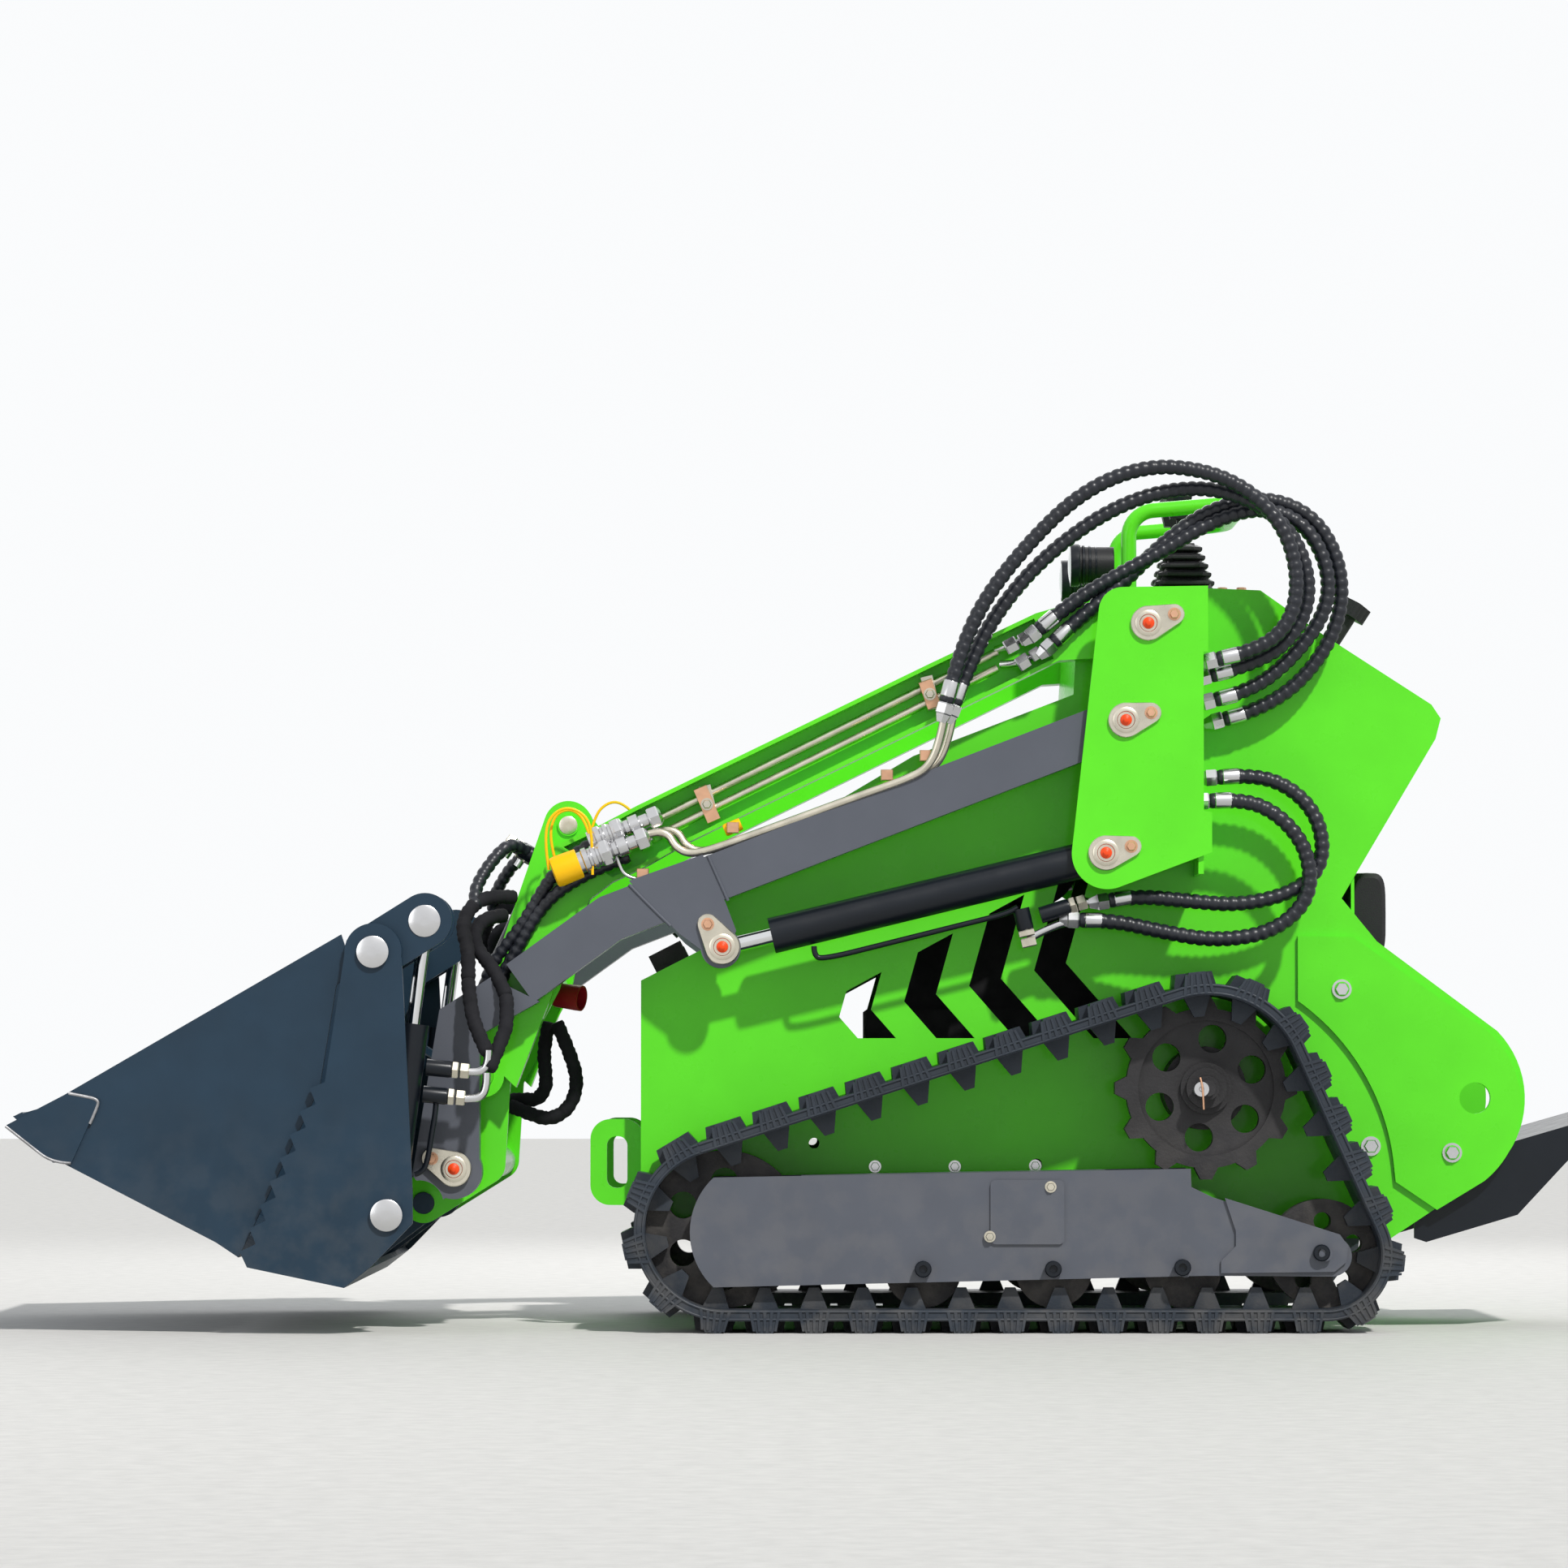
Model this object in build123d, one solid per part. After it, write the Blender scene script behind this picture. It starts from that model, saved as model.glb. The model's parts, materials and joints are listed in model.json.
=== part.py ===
"""Mini skid steer loader on rubber tracks, with a parallel lift arm and a clamshell bucket.

Millimetres. X runs from the bucket (-X) to the operator's platform (+X), Z is up from the floor, and Y = 0
is the machine's centre plane. The operator's left is -Y. Parts of both sides are drawn on the left and
mirrored. A "reach" is a distance from the centre plane.
"""

from build123d import *
from math import acos, atan2, cos, degrees, hypot, pi, radians, sin
import os

# Widths across the machine, from the chassis outwards
chassis_width = 524
side_plate_t = 8
arm_gap = 6
tower_gap = 8
upper_arm_width = 50
lower_arm_width = 50
tower_plate_t = 8
track_gap = 18
track_width = 180
frame_width = 120
frame_plate_t = 6
bucket_width = 1040
bucket_plate_t = 12
clam_gap = 6
clam_plate_t = 12

side_out = chassis_width / 2
side_in = side_out - side_plate_t
upper_in = side_out + arm_gap
upper_out = upper_in + upper_arm_width
lower_in = upper_out + arm_gap
lower_out = lower_in + lower_arm_width
tower_in = lower_out + tower_gap
tower_out = tower_in + tower_plate_t
lift_reach = (lower_in + lower_out) / 2
track_reach = side_out + track_gap + track_width / 2
bucket_out = bucket_width / 2
bucket_in = bucket_out - bucket_plate_t
clam_out = bucket_in - clam_gap
clam_in = clam_out - clam_plate_t

# Pins, bores and running clearances
pin_r = 16
bore_slack = 0.5
seat = 0.3
pin_stand = 4

# Pivots, as (X, Z). The two arms and the knuckle make a parallelogram.
link_x = 40
link_z = 141
LOWER_REAR = (456, 911)
LOWER_FRONT = (-547, 238)
UPPER_REAR = (LOWER_REAR[0] + link_x, LOWER_REAR[1] + link_z)
UPPER_FRONT = (LOWER_FRONT[0] + link_x, LOWER_FRONT[1] + link_z)
LIFT_BASE = (426, 710)
LIFT_EYE = (-150, 570)
TILT_BASE = (-381, 757)
TILT_EYE = (-564, 362)
HITCH = (-598, 188)
CLAM = (-659, 561)
CLAM_EYE = (-584, 608)
CLAM_BASE = (-640, 175)
PLATFORM = (930, 203)

# Rubber tracks and their wheels
track_pitch = 72
belt_t = 17
lug_height = 18
lug_tip = 24
lug_base = 38
block_length = 54
block_width = 110
first_link = 0.37
guide_height = 31
guide_tip = 15
guide_base = 40
guide_t = 16
wheel_t = 34
guide_gap = 5
FRONT_IDLER = (-144, 152)
front_idler_r = 117
REAR_IDLER = (744, 116)
rear_idler_r = 81
SPROCKET = (572, 361)
sprocket_teeth = 12
sprocket_rim_r = 119
sprocket_tip_r = 135.5
roller_r = 57
ROLLER_X = (151, 345, 537)
belt_z = FRONT_IDLER[1] - front_idler_r
roller_z = belt_z + roller_r
sprocket_pitch_r = sprocket_teeth * track_pitch / (2 * pi)
hub_r = 30

# Lower arm, of box section
lower_depth = 70
LOWER_BEND = (-315, 614)
LOWER_KNEE = (-449, 517)
lower_boss_r = 42
gusset_t = 8

# Upper arm, a channel that opens outwards, and the steel tubes clipped into it
channel_t = 6
tube_r = 6
tube_pitch = 25
TUBE_REAR = (266, 1018)
TUBE_FRONT = (-240, 768)
CLIP_SHARES = (0.2, 0.86)

# Hydraulic cylinders
lift_bore_r = 22
lift_barrel_r = 27
lift_rod_r = 12.5
lift_rod_shown = 78
lift_travel = 269
tilt_inset = 41
tilt_bore_r = 19
tilt_barrel_r = 24
tilt_rod_r = 12.5
tilt_rod_shown = 80
tilt_travel = 161
clam_inset = 53
clam_bore_r = 19
clam_barrel_r = 24
clam_rod_r = 10
clam_rod_shown = 153
gland_t = 22
piston_t = 30
piston_gap = 2

tilt_reach = side_out - tilt_inset
clam_reach = bucket_in - clam_inset

# Knuckle between the arms and the bucket
knuckle_t = 12
knuckle_out = side_out
knuckle_in = knuckle_out - knuckle_t
lobe_t = 6
lobe_out = tilt_reach - tilt_barrel_r - 5
lobe_in = lobe_out - lobe_t
lobe_r = 37
KNUCKLE_TUBE = (-421, 522)
LOWER_TUBE = (-505, 246)
knuckle_tube_r = 25

# Hitch ears on the bucket's back
ear_t = 8
rod_eye_width = 24
ear_gap = 4
inner_ear_in = tilt_reach - rod_eye_width / 2 - ear_gap - ear_t
outer_ear_in = tilt_reach + rod_eye_width / 2 + ear_gap

# Bucket sheets
sheet_t = 8
BACK_LINE = [(-822, 112), (-727, 352), (-703, 500), (-694, 574)]
BACK_FOOT = [(-842, 99), (-700, 69), (-664, 97)]
bearing_t = 10
bearing_in = clam_reach - 59
clam_lobe_t = 8
clam_lobe_in = bearing_in + bearing_t + clam_gap
wear_t = 5

# Side plates and body
BODY_FRONT = [(-271, 135), (-271, 523), (-175, 572), (-136, 698), (140, 862), (382, 955), (390, 1096)]
BODY_TOP = [(590, 1116), (665, 1113), (761, 1045), (923, 940), (937, 919), (929, 888), (831, 723)]
body_sheet_t = 5
body_rear_x = 806
engine_side_gap = 64
tow_inset = 67
tow_t = 12

os.makedirs("parts", exist_ok=True)


# Shared helpers


def slab(profile, near, far):
    """The XZ profile as a plate from one reach to another on the left side."""
    return Pos(0, -near, 0) * extrude(Plane.XZ * profile, amount=far - near, dir=(0, -1, 0))


def disc(at, radius):
    return Pos(*at) * Circle(radius)


def cylinder_y(at, radius, near, far):
    """A round bar along Y at an (X, Z) point, from one reach to another on the left side."""
    return Pos(at[0], -(near + far) / 2, at[1]) * Rot(90, 0, 0) * Cylinder(radius, far - near)


def polygon(points):
    return Polygon(*points, align=None)


def hull(*circles):
    """The outline of a belt round circles given as (centre, radius)."""
    edges = []
    for centre, radius in circles:
        edges += disc(centre, radius).edges()
    return make_hull(edges)


def strip(start, end, width):
    """A straight bar's outline from one (X, Z) point to another."""
    length = hypot(end[0] - start[0], end[1] - start[1])
    angle = degrees(atan2(end[1] - start[1], end[0] - start[0]))
    return Pos((start[0] + end[0]) / 2, (start[1] + end[1]) / 2) * Rot(0, 0, angle) * Rectangle(length, width)


def along(start, end, reach):
    """A frame at start whose Z axis points at end, both (X, Z) points at one reach."""
    return Plane(
        origin=(start[0], -reach, start[1]), x_dir=(0, 1, 0), z_dir=(end[0] - start[0], 0, end[1] - start[1])
    )


def rod(radius, start, end):
    """A round bar along the local Z axis between two heights."""
    return Pos(0, 0, start) * Cylinder(radius, end - start, align=(Align.CENTER, Align.CENTER, Align.MIN))


def write(name, solid):
    export_step(solid, f"parts/{name}.step")


def write_pair(name, solid):
    """Writes a left part and its mirror image."""
    write(f"{name}_left", solid)
    write(f"{name}_right", mirror(solid, about=Plane.XZ))


def height_on(outline, x):
    """The height of a line of (X, Z) points at one X."""
    for (x0, z0), (x1, z1) in zip(outline, outline[1:]):
        if x0 <= x <= x1:
            return z0 + (z1 - z0) * (x - x0) / (x1 - x0)


# Undercarriage


def belt_wire(outward):
    """The track's loop round its wheels, moved outward from the belt's inner face."""
    wheels = [
        (FRONT_IDLER, front_idler_r + outward),
        (REAR_IDLER, rear_idler_r + outward),
        (SPROCKET, sprocket_pitch_r + outward),
    ]
    normals = []
    for number in range(3):
        (x, z), radius = wheels[number]
        (next_x, next_z), next_radius = wheels[(number + 1) % 3]
        run = hypot(next_x - x, next_z - z)
        normals.append(degrees(atan2(next_z - z, next_x - x) - acos((radius - next_radius) / run)))
    edges = []
    for number in range(3):
        centre, radius = wheels[number]
        entry = normals[number - 1]
        turn = (normals[number] - entry) % 360
        edges.append(CenterArc(centre, radius, entry, turn))
    for number in range(3):
        edges.append(Line(edges[number] @ 1, edges[(number + 1) % 3] @ 0))
    return Wire([edges[0], edges[3], edges[1], edges[4], edges[2], edges[5]])


def belt_loop(outward):
    return make_face(belt_wire(outward).edges())


def trapezoid(base, tip, height, sink):
    """A lug's outline that stands on the X axis, rooted a little below it."""
    left = [(-base / 2, -sink), (-base / 2, 0), (-tip / 2, height)]
    return polygon(left + [(-x, z) for x, z in reversed(left)])


def track():
    """The belt with a lug bar and a wide block outside each link and a guide lug inside it."""
    ring = belt_loop(belt_t) - belt_loop(0)
    inner = belt_wire(0)
    count = round(inner.length / track_pitch)
    half = track_width / 2
    root = belt_t / 3
    pieces = []
    for number in range(count):
        share = (number + first_link) / count
        place = inner.position_at(share)
        run = inner.tangent_at(share)
        here = Pos(place.X, place.Y) * Rot(0, 0, degrees(atan2(run.Y, run.X)) + 180)
        bar = here * Pos(0, belt_t) * trapezoid(lug_base, lug_tip, lug_height, root)
        block = here * Pos(0, belt_t) * trapezoid(block_length + 8, block_length, lug_height, root)
        guide = here * Rot(0, 0, 180) * trapezoid(guide_base, guide_tip, guide_height, root)
        guide_near = track_reach + wheel_t / 2 + guide_gap
        pieces.append(slab(bar, track_reach - half, track_reach + half))
        pieces.append(slab(block, track_reach - half, track_reach - half + block_width))
        pieces.append(slab(guide, guide_near, guide_near + guide_t))
    return slab(ring, track_reach - half, track_reach + half).fuse(*pieces)


def sprocket():
    near = track_reach - wheel_t / 2
    far = track_reach + wheel_t / 2
    shape = disc(SPROCKET, sprocket_rim_r)
    tooth = trapezoid(34, 17, sprocket_tip_r - sprocket_rim_r, 8)
    for number in range(sprocket_teeth):
        turn = 360 / sprocket_teeth * number
        shape += Pos(*SPROCKET) * Rot(0, 0, turn) * Pos(0, sprocket_rim_r) * tooth
    for number in range(6):
        angle = radians(82 + 60 * number)
        shape -= disc((SPROCKET[0] + 74 * cos(angle), SPROCKET[1] + 74 * sin(angle)), 21)
    wheel = slab(shape, near, far)
    recess = disc(SPROCKET, 101) - disc(SPROCKET, 38)
    wheel -= slab(recess, far - 8, far)
    wheel += cylinder_y(SPROCKET, hub_r, far - 8, far + 12)
    wheel += cylinder_y(SPROCKET, 62, side_out + seat, near)
    wheel += cylinder_y(SPROCKET, 18, far + 12, far + 26)
    wheel += cylinder_y(SPROCKET, 12, far + 26, far + 38)
    return wheel


def idler(at, radius, holes, hole_r, hole_at, axle_near, axle_far):
    """A spoked guide wheel with its axle, which its frame carries."""
    near = track_reach - wheel_t / 2
    far = track_reach + wheel_t / 2
    shape = disc(at, radius - seat)
    for number in range(holes):
        angle = radians(90 + 360 / holes * number)
        shape -= disc((at[0] + hole_at * cos(angle), at[1] + hole_at * sin(angle)), hole_r)
    wheel = slab(shape, near, far)
    wheel += cylinder_y(at, 14, axle_near, axle_far)
    return wheel


frame_near = track_reach - frame_width / 2
frame_far = track_reach + frame_width / 2


def wheels():
    """One track's sprocket, front idler, rear idler and bottom rollers."""
    inner = frame_near + frame_plate_t
    outer = frame_far - frame_plate_t
    group = [sprocket(), idler(FRONT_IDLER, front_idler_r, 6, 20, 71, inner + 24, outer - 24)]
    group.append(idler(REAR_IDLER, rear_idler_r, 5, 13, 48, inner, outer))
    for x in ROLLER_X:
        at = (x, roller_z)
        wheel = cylinder_y(at, roller_r - seat, track_reach - wheel_t / 2, track_reach + wheel_t / 2)
        wheel += cylinder_y(at, 12, inner, outer)
        group.append(wheel)
    return Compound(group)


def track_frame():
    """An inverted channel over the rollers with a tapered nose at each end and two beams to the chassis."""
    nose = ThreePointArc((-160, 229), (-195, 146), (-160, 67))
    rest = Polyline((-160, 67), (567, 84), (758, 83))
    tail = RadiusArc((758, 83), (770, 138), -30)
    top = Polyline((770, 138), (578, 200), (547, 215), (546, 242), (-160, 229))
    plate = make_face(nose + rest + tail + top)
    frame = slab(plate, frame_far - frame_plate_t, frame_far)
    frame += slab(plate, frame_near, frame_near + frame_plate_t)
    top_web = polygon([(-30, 232), (420, 240), (420, 234), (-30, 226)])
    frame += slab(top_web, frame_near + frame_plate_t, frame_far - frame_plate_t)
    notch = [(590, 88), (590, 106), (612, 128), (612, 150)]
    extension = polygon([(596, 199), (766, 145), (778, 128), (775, 104), (758, 90)] + notch)
    frame += slab(extension, frame_far, frame_far + 5)
    cover = Pos(304, 178) * RectangleRounded(109, 95, 8)
    frame += slab(cover, frame_far, frame_far + 4)
    for x in (20, 420):
        beam = Pos(x, 190) * Rectangle(60, 60)
        frame += slab(beam, side_out, frame_near)
    for at in [(x, roller_z) for x in ROLLER_X] + [REAR_IDLER]:
        far = frame_far + (5 if at == REAR_IDLER else 0)
        frame += cylinder_y(at, 10, far, far + 10)
    front = FRONT_IDLER
    frame += cylinder_y(front, 26, frame_far - frame_plate_t - 24, frame_far - frame_plate_t)
    frame += cylinder_y(front, 26, frame_near + frame_plate_t, frame_near + frame_plate_t + 24)
    return frame


def undercarriage():
    write_pair("track", track())
    write_pair("wheels", wheels())
    write_pair("track_frame", track_frame())


# Chassis


def chevrons():
    """Four chevron windows cut off by a slanted top and a level bottom."""
    window = polygon([(0, 436), (470, 436), (470, 741), (0, 486)])
    step_x = 98
    step_z = 23.4
    shape = None
    for number in range(4):
        x = 27.8 + step_x * number
        z = 468 + step_z * number
        left = [(x + 170, z - 194), (x, z), (x + 84, z + 300)]
        bar = polygon(left + [(x + 132, z + 311), (x + 48, z + 11), (x + 228, z - 194)]) & window
        shape = bar if shape is None else shape + bar
    return shape


def side_plate():
    lower = [(786, 647), (839, 582), (1020, 447)]
    upper = Polyline(BODY_FRONT + BODY_TOP + lower)
    sweep_arc = ThreePointArc((1020, 447), (1061, 350), (1027, 252))
    under = Polyline((1027, 252), (923, 178), (858, 135), BODY_FRONT[0])
    shape = make_face(upper + sweep_arc + under) - chevrons()
    for at in [(-10, 278), (83, 244), (203, 244), (325, 247)]:
        shape -= disc(at, 8)
    shape -= disc((985, 346), 23.5)
    plate = slab(shape, side_in, side_out)
    for at in (LOWER_REAR, UPPER_REAR, LIFT_BASE):
        plate -= cylinder_y(at, pin_r, side_in, side_out)
    plate -= cylinder_y(PLATFORM, 12, side_in, side_out)
    return plate


def rear_guard():
    """The crescent plate bolted over the side plate behind the track."""
    outer = Polyline((719, 492), (719, 590), (802, 589), (972, 469))
    bulge = ThreePointArc((972, 469), (1054, 345), (998, 221))
    foot = Polyline((998, 221), (927, 178), (865, 220), (862, 250))
    hollow = ThreePointArc((862, 250), (811, 395), (719, 492))
    shape = make_face(outer + bulge + foot + hollow) - disc((985, 346), 23.5)
    guard = slab(shape, side_out, side_out + side_plate_t)
    for at in [(785, 510), (950, 264)]:
        guard += cylinder_y(at, 11, side_out + side_plate_t, side_out + side_plate_t + 7)
    return guard


def tower():
    """The outer bearing plate of the arms, its web to the side plate, and the three pins."""
    edge = [(450, 1108), (577, 1110), (577, 1011), (570, 1011), (570, 774), (582, 772), (582, 712)]
    shape = hull((LIFT_BASE, 53), ((450, 1072), 36)) + polygon(edge + [(446, 661), (430, 710)])
    plate = slab(shape, tower_in, tower_out)
    web = Pos(566, 890) * Rectangle(8, 420)
    plate += slab(web, side_out, tower_in)
    for at in (UPPER_REAR, LOWER_REAR, LIFT_BASE):
        plate += cylinder_y(at, pin_r, side_in, tower_out + pin_stand)
    return plate


def body_shell():
    """The sheet cover round the engine bay, between the side plates."""
    rear = [(body_rear_x, 700), (body_rear_x, 135)]
    outside = polygon(BODY_FRONT + BODY_TOP + rear)
    inside = offset(outside, -body_sheet_t)
    return slab(outside - inside, -side_in, side_in)


def engine():
    """The power unit: block, cylinder head, air cleaner and hydraulic tank."""
    width = 2 * (side_in - engine_side_gap)
    block = Pos(330, 0, 330) * Box(520, width, 300)
    head = Pos(300, 0, 560) * Box(360, width * 0.8, 160)
    cleaner = Pos(330, 0, 700) * Rot(90, 0, 0) * Cylinder(62, width * 0.8)
    feet = Pos(330, 0, 160) * Box(420, width * 0.8, 40)
    return block + head + cleaner + feet


def tow_loops():
    """Two flat D loops on the front."""
    outer = Pos(-308, 249) * RectangleRounded(81, 130, 30)
    inner = Pos(-308, 249) * RectangleRounded(31, 78, 14)
    loop = (outer - inner) & polygon([(-400, 100), (-271, 100), (-271, 400), (-400, 400)])
    near = side_out - tow_inset
    left = slab(loop, near, near + tow_t)
    return Compound([left, mirror(left, about=Plane.XZ)])


def handlebar():
    """A bent tube from the console's one side to the other."""
    foot = 1102
    reach = 195
    path = FilletPolyline(
        (470, -reach, foot), (470, -reach, 1237), (646, -reach, 1252),
        (646, reach, 1252), (470, reach, 1237), (470, reach, foot),
        radius=40,
    )
    return sweep(Plane(origin=(470, -reach, foot), z_dir=(0, 0, 1)) * Circle(11.5), path=path)


def controls():
    """Two levers in square bellows boots."""
    boot_foot = BODY_TOP[0][1] + seat
    boot_height = 84
    grip_foot = 1238
    pieces = []
    for y in (-70, 70):
        boot = Pos(562, y, boot_foot) * extrude(Rectangle(92, 80), amount=boot_height, taper=20)
        stem = Pos(558, y, boot_foot + boot_height) * Box(14, 14, 50, align=(Align.CENTER, Align.CENTER, Align.MIN))
        grip = Pos(554, y, grip_foot) * extrude(Rectangle(26, 24), amount=34, taper=-12)
        cap = Pos(554, y, grip_foot + 34) * extrude(Rectangle(40.4, 38.4), amount=18, taper=25)
        pieces.append(boot + stem + grip + cap)
    return Compound(pieces)


def work_lamps():
    """Two round lamps on posts at the console's front edge, facing the bucket."""
    lamp_z = 1160
    top = BODY_FRONT[-1:] + BODY_TOP[:1]
    pieces = []
    for y in (-150, 150):
        post = polygon([(414, height_on(top, 414)), (428, height_on(top, 428)), (428, lamp_z), (414, lamp_z)])
        lamp = slab(post, -y - 12, -y + 12)
        lamp += Pos(397, y, lamp_z) * Rot(0, 90, 0) * Cylinder(28, 52, align=(Align.CENTER, Align.CENTER, Align.MIN))
        lamp += Pos(384, y, lamp_z) * Rot(0, 90, 0) * Cylinder(31, 14, align=(Align.CENTER, Align.CENTER, Align.MIN))
        pieces.append(lamp)
    return Compound(pieces)


def filler():
    """The star-knobbed filler that stands square on the sloping rear cover."""
    slope = BODY_TOP[2:4]
    foot_x = 782
    run = slope[1][0] - slope[0][0]
    fall = slope[0][1] - slope[1][1]
    place = Plane(origin=(foot_x, -100, height_on(slope, foot_x)), z_dir=(fall, 0, run))
    star = Circle(18)
    for number in range(4):
        star += Rot(0, 0, 90 * number) * Pos(14, 0) * Circle(8)
    knob = Pos(0, 0, 62) * extrude(star, amount=24)
    return place * (rod(15, 0, 8) + rod(9, 8, 62) + knob)


def thigh_pad():
    """The operator's cushion on the back of the shell."""
    top = 690
    depth = 58
    shape = Pos(body_rear_x + depth / 2, (top + 560) / 2) * RectangleRounded(depth, top - 560, 18)
    return slab(shape, -170, 170)


def hood_stops():
    """Two rubber blocks on the hood's front slope."""
    slope = BODY_FRONT[1:3]
    low = (-248, height_on(slope, -248))
    high = (-200, height_on(slope, -200))
    rise = (-12.7, 25)
    block = polygon([low, high, (high[0] + rise[0], high[1] + rise[1]), (low[0] + rise[0], low[1] + rise[1])])
    left = slab(block, 180, 220)
    return Compound([left, mirror(left, about=Plane.XZ)])


def chassis():
    write_pair("side_plate", side_plate())
    write_pair("rear_guard", rear_guard())
    write_pair("tower", tower())
    write("body_shell", body_shell() + handlebar())
    write("engine", engine())
    write("tow_loops", tow_loops())
    write("controls", controls())
    write("work_lamps", work_lamps())
    write("filler", filler())
    write("thigh_pad", thigh_pad())
    write("hood_stops", hood_stops())


def platform():
    """The operator's fold-up step, a deck between two cheeks, and its hinge pins."""
    under = [(895, 135), (913, 129), (1051, 170), (1123, 247)]
    tread = [(1200, 325), (1123, 303), (1051, 282), (925, 243)]
    deck_t = 6
    cheek_in = side_in - 14
    cheek_out = side_in - 8
    cheek = slab(polygon(under + tread + [(895, 180)]), cheek_in, cheek_out)
    cheek -= cylinder_y(PLATFORM, 12 + bore_slack, cheek_in, cheek_out)
    deck = slab(polygon(tread + [(x, z - deck_t) for x, z in reversed(tread)]), -cheek_in, cheek_in)
    pin = cylinder_y(PLATFORM, 12, cheek_in, side_out)
    write("platform", deck + cheek + mirror(cheek, about=Plane.XZ))
    write("platform_pins", Compound([pin, mirror(pin, about=Plane.XZ)]))


# Arms


def lower_arm():
    beam = strip(LOWER_REAR, LOWER_BEND, lower_depth) + strip(LOWER_BEND, LOWER_KNEE, lower_depth)
    beam += disc(LOWER_REAR, lower_boss_r) + disc(LOWER_BEND, lower_depth / 2)
    leg = polygon([(-569, 478), (-493, 526), (-420, 490), (-509, 440), (-509, 234), (-575, 187), (-609, 232)])
    leg += disc(LOWER_FRONT, lower_boss_r)
    leg -= disc(HITCH, 36)
    arm = slab(beam + leg, lower_in, lower_out)
    gusset = polygon([(-287, 670), (-177, 709), (-143, 638), (-127, 596), (-150, 545), (-213, 592)])
    gusset += disc(LIFT_EYE, 30)
    for near in (lower_in, lower_out - gusset_t):
        arm += slab(gusset, near, near + gusset_t)
    for at in (LOWER_REAR, LOWER_FRONT):
        arm -= cylinder_y(at, pin_r + bore_slack, lower_in, lower_out)
    return arm


def upper_arm():
    top = [(376, 1089), (323, 1074), (159, 996), (-277, 784), (-338, 752), (-399, 723), (-466, 583)]
    bottom = [(-457, 362), (-404, 500), (-347, 644), (-313, 670), (-258, 696), (-202, 728), (358, 1003)]
    upper_boss_r = 44
    front_boss_r = 32
    foot = [(UPPER_FRONT[0] - front_boss_r, UPPER_FRONT[1]), (UPPER_FRONT[0] + front_boss_r, UPPER_FRONT[1])]
    outline = polygon(top + foot + bottom)
    outline += disc(UPPER_FRONT, front_boss_r) + disc(UPPER_REAR, upper_boss_r)
    outline += polygon([(376, 1089), (358, 1003), (475, 1010), (510, 1094)])
    hollow = offset(polygon(top[1:6] + bottom[3:7]), -channel_t)
    arm = slab(outline, upper_in, upper_out) - slab(hollow, upper_in + channel_t, upper_out)
    for at in (UPPER_REAR, UPPER_FRONT):
        arm -= cylinder_y(at, pin_r + bore_slack, upper_in, upper_out)
    return arm


def arm_tubes():
    """Two steel tubes in the left upper arm's channel and the clips that hold them to its web."""
    reach = upper_in + channel_t + 18
    pieces = None
    for number in (0, 1):
        start = (TUBE_REAR[0], TUBE_REAR[1] - number * tube_pitch)
        end = (TUBE_FRONT[0], TUBE_FRONT[1] - number * tube_pitch)
        tube = along(start, end, reach) * rod(tube_r, 0, hypot(end[0] - start[0], end[1] - start[1]))
        pieces = tube if pieces is None else pieces + tube
    for share in CLIP_SHARES:
        x = TUBE_REAR[0] + (TUBE_FRONT[0] - TUBE_REAR[0]) * share
        z = TUBE_REAR[1] + (TUBE_FRONT[1] - TUBE_REAR[1]) * share
        clip = strip((x - 6, z + 12), (x + 6, z - tube_pitch - 12), 18)
        pieces += slab(clip, upper_in + channel_t, reach + tube_r + 3)
    return pieces


def arms():
    write_pair("lower_arm", lower_arm())
    write_pair("upper_arm", upper_arm())
    write("arm_tubes", arm_tubes())


def knuckle():
    """Two plates joined by tubes, with the lobes that carry the tilt cylinders."""
    shape = hull((TILT_BASE, lobe_r), (KNUCKLE_TUBE, knuckle_tube_r + 5), (UPPER_FRONT, 40))
    shape += hull((UPPER_FRONT, 40), (LOWER_TUBE, knuckle_tube_r + 5), (LOWER_FRONT, 42), (HITCH, 30))
    half = slab(shape, knuckle_in, knuckle_out)
    half -= cylinder_y(HITCH, pin_r + bore_slack, knuckle_in, knuckle_out)
    lobe = hull((TILT_BASE, lobe_r), (KNUCKLE_TUBE, knuckle_tube_r + 5))
    half += slab(lobe, lobe_in, lobe_out)
    half += cylinder_y(TILT_BASE, pin_r, lobe_in - pin_stand, knuckle_out + pin_stand)
    half += cylinder_y(UPPER_FRONT, pin_r, knuckle_in, upper_out + pin_stand)
    half += cylinder_y(LOWER_FRONT, pin_r, knuckle_in, lower_out + pin_stand)
    tubes = cylinder_y(KNUCKLE_TUBE, knuckle_tube_r, -knuckle_in, knuckle_in)
    tubes += cylinder_y(LOWER_TUBE, knuckle_tube_r, -knuckle_in, knuckle_in)
    write("knuckle", half + mirror(half, about=Plane.XZ) + tubes)


# Hydraulic cylinders


def barrel(start, end, reach, bore, radius, length, rod_r, eye_r, width):
    """A cylinder's barrel with its base eye at start, open at the gland for its rod."""
    frame = along(start, end, reach)
    shell = rod(radius, eye_r - 6, length)
    shell -= rod(bore, eye_r + 12, length - gland_t)
    shell -= rod(rod_r + bore_slack, length - gland_t, length)
    body = frame * shell
    body += cylinder_y(start, eye_r, reach - width / 2, reach + width / 2)
    body -= cylinder_y(start, pin_r + bore_slack, reach - width / 2, reach + width / 2)
    return body


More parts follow.
